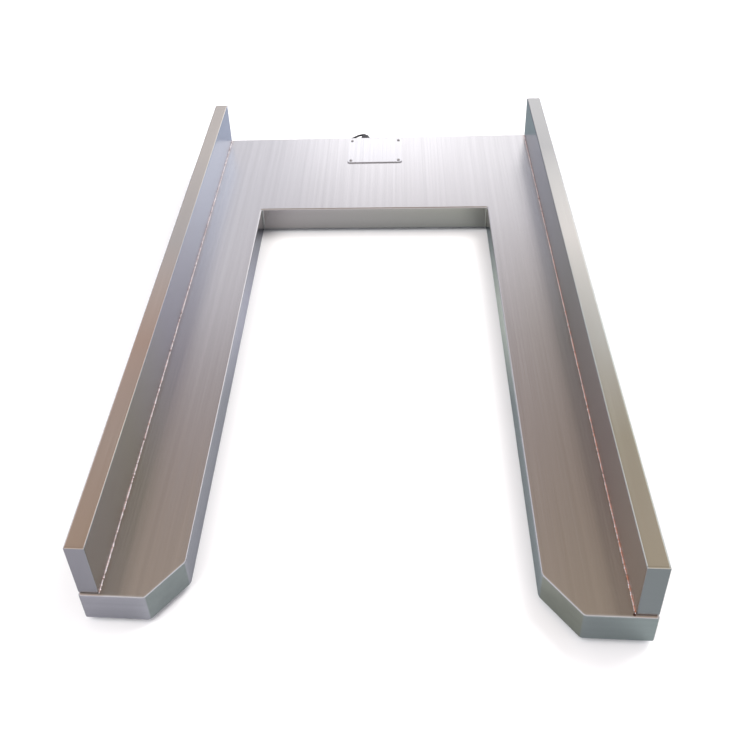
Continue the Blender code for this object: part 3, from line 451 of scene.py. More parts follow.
def make_materials():
    plain = brushed_colour((0.60, 0.585, 0.58), (0.575, 0.555, 0.545), 0.020)
    FINISHES["steel"] = brushed("brushed_steel", plain, 0.000012)
    for side, painted_reflections in GUARD_PAINTED_REFLECTIONS.items():
        FINISHES[f"guard_{side}"] = brushed(f"brushed_guard_steel_painted_reflections_{side}", guard_colour_with_painted_reflections(*painted_reflections))
    FINISHES["deck"] = brushed("brushed_deck_steel_painted_reflections", deck_colour)
    cover_colour = brushed_colour((0.595, 0.583, 0.583), (0.58, 0.565, 0.56), 0.018)
    FINISHES["cover"] = brushed("brushed_cover_steel", cover_colour, low=0.18, high=0.25, anisotropic=0.4)
    for key, values in MOTTLED.items():
        FINISHES[key] = mottled(*values)
    for key, colours in PLASTICS.items():
        FINISHES[key] = mottled(f"{key}_plastic", *colours, (260.0, 3.0), (900.0, 0.30, 0.48),
                                (0.00002, 2600.0))
    FINISHES["weld"] = surface(
        "weld_metal", weld_colour,
        lambda g: g.remap(g.noise(700.0), 0.3, 0.7, 0.10, 0.24),
        lambda g: g.bump(g.noise(1500.0, 3.0), 0.00005), 1.0,
    )
    FINISHES["nickel"] = surface(
        "nickel_plate",
        lambda g: g.ramp(g.noise(60.0, 3.0), [(0.35, (0.64, 0.62, 0.57)), (0.65, (0.69, 0.67, 0.62))]),
        lambda g: g.remap(g.noise(1.0, stretch=(200, 20, 200)), 0.3, 0.7, 0.20, 0.32),
        lambda g: g.bump(g.noise(1.0, stretch=(900, 60, 900)), 0.00003), 1.0,
    )
    FINISHES["plain"] = surface(
        "milled_steel",
        lambda g: g.ramp(g.noise(80.0, 4.0), [(0.3, (0.36, 0.36, 0.37)), (0.7, (0.47, 0.46, 0.45))]),
        lambda g: g.remap(g.noise(200.0), 0.3, 0.7, 0.38, 0.56),
        lambda g: g.bump(g.noise(1.0, stretch=(700, 50, 700)), 0.00006), 1.0,
    )
    tracks = [(0.48, (0.012, 0.11, 0.04)), (0.52, (0.03, 0.22, 0.08))]
    FINISHES["board"] = surface(
        "green_laminate",
        lambda g: g.ramp(g.noise(1.0, 1.0, stretch=(900, 140, 100)), tracks),
        lambda g: g.remap(g.noise(300.0), 0.3, 0.7, 0.22, 0.38),
        lambda g: g.bump(g.noise(900.0, 1.0), 0.00005),
    )


# ---------------------------------------------------------------- mesh helpers

def add_piece(name, data, finish, nodes=(), body="platform", location=(0, 0, 0), slot=None):
    made = bpy.data.objects.new(name, data)
    bpy.context.scene.collection.objects.link(made)
    made.location = location
    data.materials.append(FINISHES[finish])
    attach(made, body)
    if nodes:
        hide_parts(*nodes)
    slot or SLOTS.get(finish, "brushed_stainless")
    return made


def add_solid(name, shape, finish, nodes=(), smooth_angle=40, **placing):
    """A piece made from a loose shape."""
    return add_piece(name, mesh_from(name, shape, smooth_angle), finish, nodes, **placing)


def mesh_from(name, shape, smooth_angle=40):
    if shape.calc_volume(signed=True) < 0:
        bmesh.ops.reverse_faces(shape, faces=shape.faces)
    mesh = bpy.data.meshes.new(name)
    shape.to_mesh(mesh)
    shape.free()
    mesh.shade_smooth()
    mesh.set_sharp_from_angle(angle=math.radians(smooth_angle))
    return mesh


def prism(outline, low, high, shape=None):
    shape = shape or bmesh.new()
    lower = [shape.verts.new((x, y, low)) for x, y in outline]
    upper = [shape.verts.new((x, y, high)) for x, y in outline]
    shape.faces.new(reversed(lower))
    shape.faces.new(upper)
    for i in range(len(outline)):
        j = (i + 1) % len(outline)
        shape.faces.new((lower[i], lower[j], upper[j], upper[i]))
    return shape


def rounded_rectangle(width, depth, radius, centre=(0, 0), steps=6):
    points = []
    for sx, sy, start in ((-1, -1, 180), (1, -1, 270), (1, 1, 0), (-1, 1, 90)):
        cx = centre[0] + sx * (width / 2 - radius)
        cy = centre[1] + sy * (depth / 2 - radius)
        for i in range(steps + 1):
            angle = math.radians(start + 90 * i / steps)
            points.append((cx + radius * math.cos(angle), cy + radius * math.sin(angle)))
    return points


def circle(radius, centre=(0, 0), sides=32):
    turn = 2 * math.pi / sides
    x, y = centre
    return [(x + radius * math.cos(i * turn), y + radius * math.sin(i * turn)) for i in range(sides)]


def hexed(flats, most=1.0):
    """The radius of a hexagon with a corner at angle 0, no more than `most`."""
    return lambda angle: min(most, flats / 2 / math.cos(angle % (math.pi / 3) - math.pi / 6))


def hex_profile(flats, low, high, steps=3):
    """Rings of a hexagon whose corners are turned off at both ends."""
    start, corner = 0.48 * flats, flats / math.sqrt(3)
    rise = (corner - start) * math.tan(math.radians(30))
    rings = []
    for i in range(steps + 1):
        share = i / steps
        rings.append((hexed(flats, start + (corner - start) * share), low + rise * share))
    return rings + [(radius, low + high - z) for radius, z in reversed(rings)]


def thread_profile(radius, pitch, low, high, per_turn=8):
    """Rings of a helical thread with its ends turned down."""
    root = radius - 0.6 * pitch
    count = round((high - low) / pitch * per_turn)
    rings = []
    for i in range(count + 1):
        z = low + (high - low) * i / count
        most = root + min(z - low, high - z)
        rings.append((thread_radius(root, radius, pitch, z, most), z))
    return rings


def thread_radius(root, crest, pitch, z, most):
    def radius(angle):
        ridge = 1 - abs(2 * ((z / pitch - angle / (2 * math.pi)) % 1) - 1)
        return min(max(root, most), root + (crest - root) * min(1.0, 1.15 * ridge))
    return radius


def ribbed(radius, depth, count):
    """A radius with round-bottomed grooves along the axis."""
    return lambda angle: radius - depth * (0.5 - 0.5 * math.cos(count * angle)) ** 2


def ring_points(radius, sides):
    for i in range(sides):
        angle = 2 * math.pi * i / sides
        out = radius(angle) if callable(radius) else radius
        yield out * math.cos(angle), out * math.sin(angle)


def lathe(profile, sides=48, shape=None, placing=None):
    """A closed solid about Z from (radius, z) points. A radius is a number or a function of the angle.

    Points at radius 0 close it. Without them the profile is a loop, and the solid a ring.
    """
    shape = shape or bmesh.new()
    placing = placing or Matrix.Identity(4)
    rings = []
    for radius, z in profile:
        ring = [(0.0, 0.0)] if radius == 0 else ring_points(radius, sides)
        rings.append([shape.verts.new(placing @ Vector((x, y, z))) for x, y in ring])
    closed = profile[0][0] != 0
    pairs = list(zip(rings, rings[1:] + rings[:1])) if closed else list(zip(rings, rings[1:]))
    for first, second in pairs:
        for i in range(sides):
            j = (i + 1) % sides
            corners = [first[i % len(first)], first[j % len(first)]]
            corners += [second[j % len(second)], second[i % len(second)]]
            shape.faces.new(list(dict.fromkeys(corners)))
    return shape


def add_box(shape, low, high, edge):
    """A box between two corners, with rounded edges, added to a loose shape."""
    (left, front, bottom), (right, rear, top) = low, high
    made = prism([(left, front), (right, front), (right, rear), (left, rear)], bottom, top)
    bevel(made, lambda _: True, edge, 2)
    mesh = bpy.data.meshes.new("box")
    made.to_mesh(mesh)
    made.free()
    shape.from_mesh(mesh)
    bpy.data.meshes.remove(mesh)


def sweep(points, radius, sides=10, shape=None):
    """A round wire through the points, with closed ends. The radius may be a list, one for each point."""
    shape = shape or bmesh.new()
    points = [Vector(p) for p in points]
    radii = radius if isinstance(radius, list) else [radius] * len(points)
    side = None
    rings = []
    for i, point in enumerate(points):
        ahead = points[min(i + 1, len(points) - 1)] - points[max(i - 1, 0)]
        ahead.normalize()
        if side is None:
            side = ahead.orthogonal().normalized()
        side = (side - ahead * side.dot(ahead)).normalized()
        other = ahead.cross(side)
        rings.append([
            shape.verts.new(point + radii[i] * (side * math.cos(a) + other * math.sin(a)))
            for a in (2 * math.pi * k / sides for k in range(sides))
        ])
    skin(shape, rings)
    return shape


def skin(shape, rings):
    """Faces between neighbouring rings, and one across each end."""
    sides = len(rings[0])
    for first, second in zip(rings, rings[1:]):
        for i in range(sides):
            j = (i + 1) % sides
            shape.faces.new((first[i], first[j], second[j], second[i]))
    shape.faces.new(list(reversed(rings[0])))
    shape.faces.new(rings[-1])


def bevel(shape, chosen, width, steps):
    edges = [edge for edge in shape.edges if chosen(edge)]
    bmesh.ops.bevel(
        shape, geom=edges, offset=width, offset_type="OFFSET", segments=steps, profile=0.5, affect="EDGES"
    )


def at_height(z):
    return lambda edge: all(abs(v.co.z - z) < 1e-6 for v in edge.verts)


def upright(edge):
    first, second = (v.co for v in edge.verts)
    return abs(first.x - second.x) < 1e-6 and abs(first.y - second.y) < 1e-6


def cut(name, shape, *cutters):
    """The mesh of a shape with closed cutting shapes taken away."""
    holder = bpy.data.objects.new("holder", mesh_from(name, shape))
    bpy.context.scene.collection.objects.link(holder)
    helpers = []
    for cutter in cutters:
        helper = bpy.data.objects.new("helper", mesh_from("helper", cutter))
        bpy.context.scene.collection.objects.link(helper)
        modifier = holder.modifiers.new("cut", "BOOLEAN")
        modifier.operation = "DIFFERENCE"
        modifier.object = helper
        modifier.solver = "EXACT"
        helpers.append(helper)
    bpy.context.view_layer.update()
    graph = bpy.context.evaluated_depsgraph_get()
    done = bpy.data.meshes.new_from_object(holder.evaluated_get(graph), depsgraph=graph)
    for extra in (holder, *helpers):
        bpy.data.objects.remove(extra, do_unlink=True)
    done.materials.clear()
    return done


def shaded(piece):
    """Smooth shading that keeps wide flat faces flat."""
    piece.data.shade_smooth()
    piece.data.set_sharp_from_angle(angle=math.radians(40))
    weighted = piece.modifiers.new("weighted", "WEIGHTED_NORMAL")
    weighted.keep_sharp = True
    weighted.weight = 90
    return piece


def offset_outline(points, inset):
    """The outline moved inwards by `inset` on every side."""
    moved = []
    for i, point in enumerate(points):
        here = Vector(point)
        first = (here - Vector(points[i - 1])).normalized()
        second = (Vector(points[(i + 1) % len(points)]) - here).normalized()
        inward_a = Vector((-first.y, first.x))
        inward_b = Vector((-second.y, second.x))
        moved.append(tuple(here + (inward_a + inward_b) / (1 + inward_a.dot(inward_b)) * inset))
    return moved


# ---------------------------------------------------------------- signal cable

CABLE_RADIUS = 0.003
COIL_X, COIL_Y = -0.205, 0.7805
LYING = CABLE_RADIUS + GAP
COIL_START = math.radians(90)
TAIL_ANGLE = math.radians(120)
COIL_TURNS = 11 + 30 / 360
OUTER_TURN, TOP_TURN, INNER_TURN = 0.048, 0.037, 0.024
STEP_PER_TURN = 0.006


def eased(t):
    t = min(max(t, 0.0), 1.0)
    return t * t * (3 - 2 * t)


def coil_radius(turn):
    """In over four turns, out over four on top of them, then in again over two."""
    if turn < 4:
        return OUTER_TURN - STEP_PER_TURN * turn
    if turn < 4.5:
        return INNER_TURN
    if turn < 8.5:
        return INNER_TURN + STEP_PER_TURN * (turn - 4.5)
    if turn < 9:
        return OUTER_TURN + (TOP_TURN - OUTER_TURN) * eased((turn - 8.5) / 0.5)
    return max(INNER_TURN, TOP_TURN - STEP_PER_TURN * (turn - 9))


def coil_height(turn):
    """The lowest layer lies on the floor, and each climb goes up by one layer."""
    climbs = ((4.0, 0.45), (8.5, 0.5), (10.8, 0.2833))
    return LYING + sum(STEP_PER_TURN * eased((turn - start) / length) for start, length in climbs)


def smooth_route(points, spacing):
    """Evenly spaced points along a smooth curve through the given ones, nowhere under the floor."""
    route = [Vector(p) for p in points]
    route = [2 * route[0] - route[1]] + route + [2 * route[-1] - route[-2]]
    dense = []
    for a, b, c, d in zip(route, route[1:], route[2:], route[3:]):
        for i in range(24):
            t = i / 24
            dense.append(0.5 * (2 * b + (c - a) * t + (2 * a - 5 * b + 4 * c - d) * t**2
                                + (3 * b - a - 3 * c + d) * t**3))
    dense.append(route[-2])
    lengths = [0.0]
    for first, second in zip(dense, dense[1:]):
        lengths.append(lengths[-1] + (second - first).length)
    count = max(2, round(lengths[-1] / spacing))
    picked = []
    k = 0
    for i in range(count + 1):
        target = lengths[-1] * i / count
        while k < len(dense) - 2 and lengths[k + 1] < target:
            k += 1
        share = (target - lengths[k]) / max(lengths[k + 1] - lengths[k], 1e-9)
        point = dense[k].lerp(dense[k + 1], share)
        point.z = max(point.z, LYING)
        picked.append(point)
    return picked


def cable_points():
    """From the gland down to the floor, round the coil, and over it to the connector."""
    run = [
        (GLAND_X, 0.699, GLAND_Z),
        (GLAND_X, 0.732, GLAND_Z),
        (GLAND_X, 0.760, GLAND_Z),
        (GLAND_X, 0.766, GLAND_Z),
        (-0.034, 0.780, 0.051),
        (-0.050, 0.795, 0.040),
        (-0.075, 0.803, 0.024),
        (-0.105, 0.806, 0.010),
        (-0.132, 0.814, LYING),
        (-0.158, 0.823, LYING),
        (COIL_X + 0.0246, COIL_Y + OUTER_TURN, LYING),
        (COIL_X, COIL_Y + OUTER_TURN, LYING),
    ]
    points = smooth_route(run, 0.0065)[:-1]
    steps = round(COIL_TURNS * 36)
    for i in range(steps + 1):
        turn = COIL_TURNS * i / steps
        angle = COIL_START + 2 * math.pi * turn
        radius = coil_radius(turn)
        x, y = COIL_X + radius * math.cos(angle), COIL_Y + radius * math.sin(angle)
        points.append(Vector((x, y, coil_height(turn))))
    tangent = Vector((-math.sin(TAIL_ANGLE), math.cos(TAIL_ANGLE), 0))
    leaving = points[-1].copy()
    floor_point = Vector((leaving.x, leaving.y, 0))
    tail = [
        points[-1],
        leaving + tangent * 0.014,
        leaving + tangent * 0.026 - Vector((0, 0, 0.0004)),
        floor_point + tangent * 0.036 + Vector((0, 0, 0.0188)),
        floor_point + tangent * 0.046 + Vector((0, 0, 0.0150)),
        floor_point + tangent * 0.059 + Vector((0, 0, 0.0085)),
        floor_point + tangent * 0.074 + Vector((0, 0, 0.0045)),
        (-0.297, 0.7625, 0.0065),
        (-0.315, 0.7620, 0.0098),
        (-0.331, 0.7620, 0.0098),
    ]
    return points + smooth_route(tail, 0.006)[1:]


def add_signal_cable(connector):
    points = cable_points()
    curve = bpy.data.curves.new("indicator_cable", "CURVE")
    curve.dimensions = "3D"
    curve.bevel_depth = CABLE_RADIUS
    curve.bevel_resolution = 4
    curve.use_fill_caps = True
    spline = curve.splines.new("POLY")
    spline.points.add(len(points) - 1)
    for spot, point in zip(spline.points, points):
        spot.co = (*point, 1.0)
    nodes = ("signal_cable", "signal_cable_coil", "signal_cable_tail")
    cable = add_piece("indicator_cable", curve, "jacket", nodes)
    ties = [add_cable_tie(f"cable_tie_{i + 1}", math.radians(angle)) for i, angle in enumerate((20, 200))]


def add_cable_tie(name, angle):
    """A flat nylon strap round the winding."""
    low, high, top = 0.0198, 0.0522, 0.0253
    sheet, half = 0.0011, 0.0018
    centre = ((high + low) / 2, top / 2 + 0.0004)
    loop = rounded_rectangle(high - low, top, 0.0075, centre, 8)
    inner = rounded_rectangle(high - low - 2 * sheet, top - 2 * sheet, 0.0075 - sheet, centre, 8)
    shape = bmesh.new()
    rows = []
    for outline in (loop, inner):
        for side in (-half, half):
            rows.append([shape.verts.new((x, side, z)) for x, z in outline])
    outer_a, outer_b, inner_a, inner_b = rows
    for i in range(len(loop)):
        j = (i + 1) % len(loop)
        shape.faces.new((outer_a[i], outer_a[j], outer_b[j], outer_b[i]))
        shape.faces.new((inner_a[j], inner_a[i], inner_b[i], inner_b[j]))
        shape.faces.new((outer_b[i], outer_b[j], inner_b[j], inner_b[i]))
        shape.faces.new((outer_a[j], outer_a[i], inner_a[i], inner_a[j]))
    shape.transform(Matrix.Rotation(angle, 4, "Z"))
    shape.transform(Matrix.Translation((COIL_X, COIL_Y, 0)))
    return shaded(add_solid(name, shape, "nylon"))


# ---------------------------------------------------------------- platform

def platform_outline():
    tip = ARM_INNER + CHAMFER_ACROSS
    return [
        (-HALF_W, HALF_L), (-HALF_W, -HALF_L), (-tip, -HALF_L), (-ARM_INNER, -HALF_L + CHAMFER_ALONG),
        (-ARM_INNER, BEAM_FRONT), (ARM_INNER, BEAM_FRONT), (ARM_INNER, -HALF_L + CHAMFER_ALONG),
        (tip, -HALF_L),
        (HALF_W, -HALF_L), (HALF_W, HALF_L),
    ]


def bay_outline():
    return rounded_rectangle(*BAY_SIZE, BAY_RADIUS, (0, COVER_Y), 8)


def screw_places():
    return {name: (across * SCREW_X, COVER_Y + along * SCREW_Y) for name, (across, along) in CORNERS.items()}


def add_screw_holes(shape, low, high):
    for spot in screw_places().values():
        prism(circle(SCREW_HOLE, spot), low, high, shape)
    return shape


def add_deck():
    """The folded sheet, with wide smooth bends along its top edges and tight ones along its bottom."""
    outline = platform_outline()
    shape = prism(outline, BOTTOM, DECK_TOP)
    bevel(shape, upright, CORNER_RADIUS, 6)
    bevel(shape, at_height(DECK_TOP), TOP_BEND, 8)
    bevel(shape, at_height(BOTTOM), BOTTOM_BEND, 5)
    inside = prism(offset_outline(outline, SHEET), BOTTOM - SHEET, DECK_TOP - SHEET)
    low, high = DECK_TOP - 2 * SHEET, DECK_TOP + SHEET
    openings = add_screw_holes(prism(bay_outline(), low, high), low, high)
    gland_hole = prism(circle(0.0103), -2 * SHEET, SHEET)
    gland_hole.transform(Matrix.Translation((GLAND_X, HALF_L, GLAND_Z)) @ UP_Y)
    mesh = cut("deck_skin", shape, inside, openings, gland_hole)
    shaded(add_piece("deck_skin", mesh, "deck", ("deck_shell",)))


def add_floor_plate():
    """The bottom plate with its four round foot openings and its softly rounded corners."""
    shape = prism(offset_outline(platform_outline(), SHEET + GAP), BOTTOM + GAP, BOTTOM + GAP + 0.002)
    bevel(shape, upright, 0.0015, 3)
    holes = bmesh.new()
    for across, along in CORNERS.values():
        centre = (across * FOOT_X, along * FOOT_Y)
        prism(circle(0.026, centre, 64), 0, 0.02, holes)
    shaded(add_piece("floor_plate", cut("floor_plate", shape, holes), "steel", ("bottom_plate",)))


def add_guards():
    """A rounded rectangular tube on each side, and a pressed cap with a soft edge at each end."""
    for side, across in (("left", -1), ("right", 1)):
        centre = (across * (HALF_W - GUARD_WIDTH / 2), 0, GUARD_LOW + GUARD_HEIGHT / 2)
        laid = Matrix.Rotation(math.radians(90), 4, "X")
        outline = rounded_rectangle(GUARD_WIDTH, GUARD_HEIGHT, GUARD_RADIUS, steps=8)
        reach = GUARD_END - GUARD_CAP - GAP
        tube = prism(outline, -reach, reach)
        bevel(tube, lambda edge: at_height(reach)(edge) or at_height(-reach)(edge), 0.0006, 2)
        inner = rounded_rectangle(
            GUARD_WIDTH - 2 * GUARD_WALL, GUARD_HEIGHT - 2 * GUARD_WALL, GUARD_RADIUS - GUARD_WALL, steps=4
        )
        hollow = prism(inner, -HALF_L, HALF_L)
        for shape in (tube, hollow):
            shape.transform(Matrix.Translation(centre) @ laid)
        name = f"guard_rail_{side}"
        shaded(add_piece(name, cut(name, tube, hollow), f"guard_{side}", (f"guard_tube_{side}",)))
        for end, turn in (("front", 0), ("rear", 180)):
            cap = prism(outline, GUARD_END - GUARD_CAP, GUARD_END)
            bevel(cap, at_height(GUARD_END - GUARD_CAP), 0.0006, 2)
            bevel(cap, at_height(GUARD_END), 0.0020, 6)
            cap.transform(Matrix.Translation(centre) @ Matrix.Rotation(math.radians(turn), 4, "Z") @ laid)
            shaded(add_solid(f"guard_end_{end}_{side}", cap, f"guard_{side}", (f"guard_cap_{end}_{side}",)))


# ---------------------------------------------------------------- welds

WELD_PITCH, WELD_LEG = 0.0042, 0.0018
WELD_STEPS, WELD_POINTS = 7, 9
STITCH_LENGTH, STITCH_RADIUS, STITCH_STEPS = 0.026, 0.0019, 40


def weld_height(turn, across, ripples):
    """How far the bead stands out: each ripple is a crescent that laps over the one before it."""
    shifted = turn + 0.6 * (1 - (2 * across - 1) ** 2)
    ripple = ripples[int(shifted) % len(ripples)]
    phase = shifted % 1.0
    lap = phase ** 0.7 if phase < 0.85 else (1 - phase) / 0.15
    return ripple * (0.85 + 0.45 * lap)


def weld_ring(shape, across, y, turn, ends, ripples):
    """One section of a bead, from the guard's wall down to the deck, closed just under the deck's face."""
    wall, low = WELD_X - 0.00005, DECK_TOP - 0.0004
    ring = [shape.verts.new((across * wall, y, low))]
    for k in range(WELD_POINTS):
        share = k / (WELD_POINTS - 1)
        angle = math.radians(90 * share)
        flat = 1 / (math.cos(angle) + math.sin(angle))
        reach = ends * weld_height(turn, share, ripples) * (0.35 + 0.65 * flat)
        x = wall - reach * math.sin(angle)
        ring.append(shape.verts.new((across * x, y, DECK_TOP - 0.0001 + reach * math.cos(angle))))
    ring.append(shape.verts.new((across * x, y, low)))
    return ring


def add_guard_welds():
    """The rippled fillet weld along the inner foot of each guard."""
    for side, across in (("left", -1), ("right", 1)):
        rng = random.Random(f"weld {side}")
        count = round(2 * GUARD_END / WELD_PITCH)
        ripples = [WELD_LEG * rng.uniform(0.65, 1.25) for _ in range(count + 2)]
        shape = bmesh.new()
        total = count * WELD_STEPS
        rings = []
        for i in range(total + 1):
            y = -GUARD_END + 2 * GUARD_END * i / total
            ends = min(1.0, 0.35 + min(i, total - i) / (2 * WELD_STEPS))
            rings.append(weld_ring(shape, across, y, i / WELD_STEPS, ends, ripples))
        skin(shape, rings)
        add_solid(f"weld_bead_{side}", shape, "weld", smooth_angle=50)


def add_weld_crater():
    """The burnt pit where the right guard's weld starts, at its front end."""
    profile = [(0, 0.0001), (0.0006, 0.0002), (0.0011, 0.0006), (0.0014, 0.0010), (0.0018, 0.0010),
               (0.0021, 0.0006),
               (0.0022, -0.0004), (0, -0.0004)]
    placing = Matrix.Translation((WELD_X - 0.0024, -GUARD_END - 0.0002, DECK_TOP))
    add_solid("weld_crater", lathe(profile, 32, placing=placing), "oxide")


def add_stitch_welds():
    """Short beads that hold the bottom plate along its edges."""
    rng = random.Random("stitches")
    seam = SHEET + GAP / 2
    outer, inner = HALF_W - seam, ARM_INNER + seam
    runs = []
    for across in (-1, 1):
        for y in (-0.60, -0.42, -0.21, 0.0, 0.21, 0.42, 0.60):
            runs.append(((across * outer, y), (0, 1)))
        for y in (-0.56, -0.30, -0.04, 0.22):
            runs.append(((across * inner, y), (0, 1)))
    for x in (-0.36, -0.18, 0.0, 0.18, 0.36):
        runs.append(((x, HALF_L - seam), (1, 0)))
    for x in (-0.18, 0.0, 0.18):
        runs.append(((x, BEAM_FRONT + seam), (1, 0)))
    for x in (-0.40, 0.40):
        runs.append(((x, -HALF_L + seam), (1, 0)))
    shape = bmesh.new()
    for (x, y), (dx, dy) in runs:
        points, radii = [], []
        for i in range(STITCH_STEPS + 1):
            along = (i / STITCH_STEPS - 0.5) * STITCH_LENGTH
            taper = min(1, 0.35 + min(i, STITCH_STEPS - i) / 5)
            points.append((x + dx * along, y + dy * along, BOTTOM + 0.0009))
            radii.append(STITCH_RADIUS * taper * (1 + 0.12 * (i % 5) / 5) * rng.uniform(0.97, 1.03))
        sweep(points, radii, 10, shape)
    add_solid("stitch_welds", shape, "weld", smooth_angle=50)


# ---------------------------------------------------------------- cover

def add_cover():
    """The cover with its turned-down rim, the seal inside the rim, and the four screws."""
    under, over = DECK_TOP - 0.01, COVER_TOP + 0.01
    shape = prism(rounded_rectangle(*COVER_SIZE, 0.008, (0, COVER_Y), 10), DECK_TOP + GAP, COVER_TOP)
    bevel(shape, at_height(COVER_TOP), 0.0010, 6)
    inner = [side - 2 * COVER_RIM for side in COVER_SIZE]
    pocket = prism(rounded_rectangle(*inner, 0.0068, (0, COVER_Y), 8), under, COVER_LOW)
    mesh = cut("cover_plate", shape, pocket, add_screw_holes(bmesh.new(), under, over))
    shaded(add_piece("cover_plate", mesh, "cover", ("junction_cover",), "junction_lid"))

    inset = [side - 0.003 for side in COVER_SIZE]
    seal = prism(rounded_rectangle(*inset, 0.008, (0, COVER_Y), 10), DECK_TOP + GAP, COVER_LOW - GAP)
    bevel(seal, lambda edge: not upright(edge), 0.0002, 2)
    mesh = cut("cover_seal", seal, add_screw_holes(prism(bay_outline(), under, over), under, over))
    shaded(add_piece("cover_seal", mesh, "rubber", ("cover_gasket",), "junction_lid"))

    for name, spot in screw_places().items():
        add_cover_screw(name, spot)


def add_cover_screw(name, spot):
    """A button-head screw with a hexagon socket and a threaded shank."""
    seat = COVER_TOP + GAP
    top, tip = seat + 0.0022, 0.0625
    head = [(0.0038, seat), (0.0040, seat + 0.0003), (0.0040, seat + 0.0007)]
    for i in range(1, 7):
        angle = math.radians(15 * i)
        head.append((0.0019 + 0.0021 * math.cos(angle), seat + 0.0007 + 0.0015 * math.sin(angle)))
    socket = hexed(0.0025)
    profile = [(0, tip), *thread_profile(0.002, 0.0007, tip, COVER_LOW - 0.001), (0.002, COVER_LOW - 0.0009),
               (0.002, seat), *head, (hexed(0.0027), top), (socket, top - 0.0001), (socket, top - 0.0012),
               (0, top - 0.0015)]
    add_solid(
        f"cover_bolt_{name}", lathe(profile, 36), "steel", (f"cover_screw_{name}",),
        body="junction_lid", location=(*spot, 0),
    )


# ---------------------------------------------------------------- feet

def add_feet():
    """Pad and stud, and the nut that locks the stud to its load cell. The nut stays with the platform."""
    for name, (across, along) in CORNERS.items():
        spot = (across * FOOT_X, along * FOOT_Y, 0)
        add_foot_pad(name, spot)
        add_foot_stud(name, spot)
        low, high = CELL_BOTTOM - 0.0073, CELL_BOTTOM - GAP
        nut = lathe([*hex_profile(0.019, low, high), (0.0070, high), (0.0063, high - 0.0007),
                     (0.0063, low + 0.0007), (0.0070, low)])
        add_solid(f"lock_nut_{name}", nut, "zinc", (f"foot_lock_nut_{name}",), 30, location=spot)


def add_foot_pad(name, spot):
    """A moulded pad: grip rings under it, flutes round its rim and a boss that holds the stud's ball."""
    def rim(radius):
        return ribbed(radius, 0.0007, 24)

    profile = [(0, 0.0008), (0.0060, 0.0008)]
    for inner in (0.0062, 0.0102, 0.0142):
        profile += [(inner, 0.0), (inner + 0.0024, 0.0), (inner + 0.0026, 0.0010), (inner + 0.0038, 0.0010)]
    profile += [
        (0.0182, 0.0), (0.0210, 0.0), (0.0217, 0.0003), (rim(0.0220), 0.0010), (rim(0.0220), 0.0046),
        (rim(0.0217), 0.0053), (0.0209, 0.0055), (0.0160, 0.0062), (0.0135, 0.0070), (0.0118, 0.0086),
        (0.0109, 0.0108), (0.0103, 0.0115), (0.0064, 0.0115), (0.0058, 0.0111), (0.0058, 0.0050), (0, 0.0047),
    ]
    add_solid(
        f"foot_base_{name}", lathe(profile, 96), "nylon", (f"foot_pad_{name}",), 35,
        body=f"pad_{name}", location=spot,
    )


def add_foot_stud(name, spot):
    """The stud: a round tip in the pad, a hexagon collar, and a rolled thread up through the load cell."""
    profile = [(0, 0.0050), (0.0030, 0.0051), (0.0048, 0.0058), (0.0055, 0.0070), (0.0055, 0.0118)]
    profile += hex_profile(0.017, 0.0120, 0.0162)
    profile += [(0.0050, 0.0162), (0.0049, 0.0175)]
    profile += thread_profile(0.0060, 0.00175, 0.0176, 0.0550)
    profile.append((0, 0.0550))
    add_solid(
        f"foot_screw_{name}", lathe(profile, 36), "zinc", (f"foot_stud_{name}",), 30,
        body=f"stud_{name}", location=spot,
    )


# ---------------------------------------------------------------- gland and connector

CORD_BORE = 0.0033


def add_gland():
    """The gland's body through the rear wall, its ribbed cap outside and its lock ring inside."""
    placing = Matrix.Translation((GLAND_X, 0, GLAND_Z)) @ UP_Y
    body = [
        *thread_profile(0.0098, 0.0015, 0.7110, 0.7238), (0.0090, 0.7240), (0.0090, 0.7253),
        *hex_profile(0.024, 0.7253, 0.7306), (0.0085, 0.7306), (0.0085, 0.7440), (0.0078, 0.7450),
        (CORD_BORE, 0.7450), (CORD_BORE, 0.7110),
    ]
    add_solid("gland_shell", lathe(body, placing=placing), "nylon", ("gland_body",), 35)
    cap = [(hexed(0.024, 0.0122), 0.7309), (hexed(0.024, 0.0132), 0.7316), (hexed(0.024, 0.0134), 0.7520),
           (hexed(0.024, 0.0124), 0.7530)]
    for radius, y in (
        (0.0112, 0.7532), (0.0110, 0.7544), (0.0104, 0.7556), (0.0094, 0.7568), (0.0080, 0.7579),
    ):
        cap.append((ribbed(radius, 0.0006, 12), y))
    cap += [(0.0066, 0.7586), (0.0054, 0.7590), (0.0040, 0.7590), (CORD_BORE, 0.7584), (CORD_BORE, 0.7490),
            (0.0090, 0.7453), (0.0090, 0.7309)]
    add_solid("gland_cap", lathe(cap, 72, placing=placing), "nylon", ("gland_nut",), 35)
    ring = [*hex_profile(0.024, 0.7128, 0.7187), (0.0109, 0.7187), (0.0103, 0.7181), (0.0103, 0.7134),
            (0.0109, 0.7128)]
    add_solid("gland_ring", lathe(ring, placing=placing), "nylon", ("gland_lock_nut",), 35)


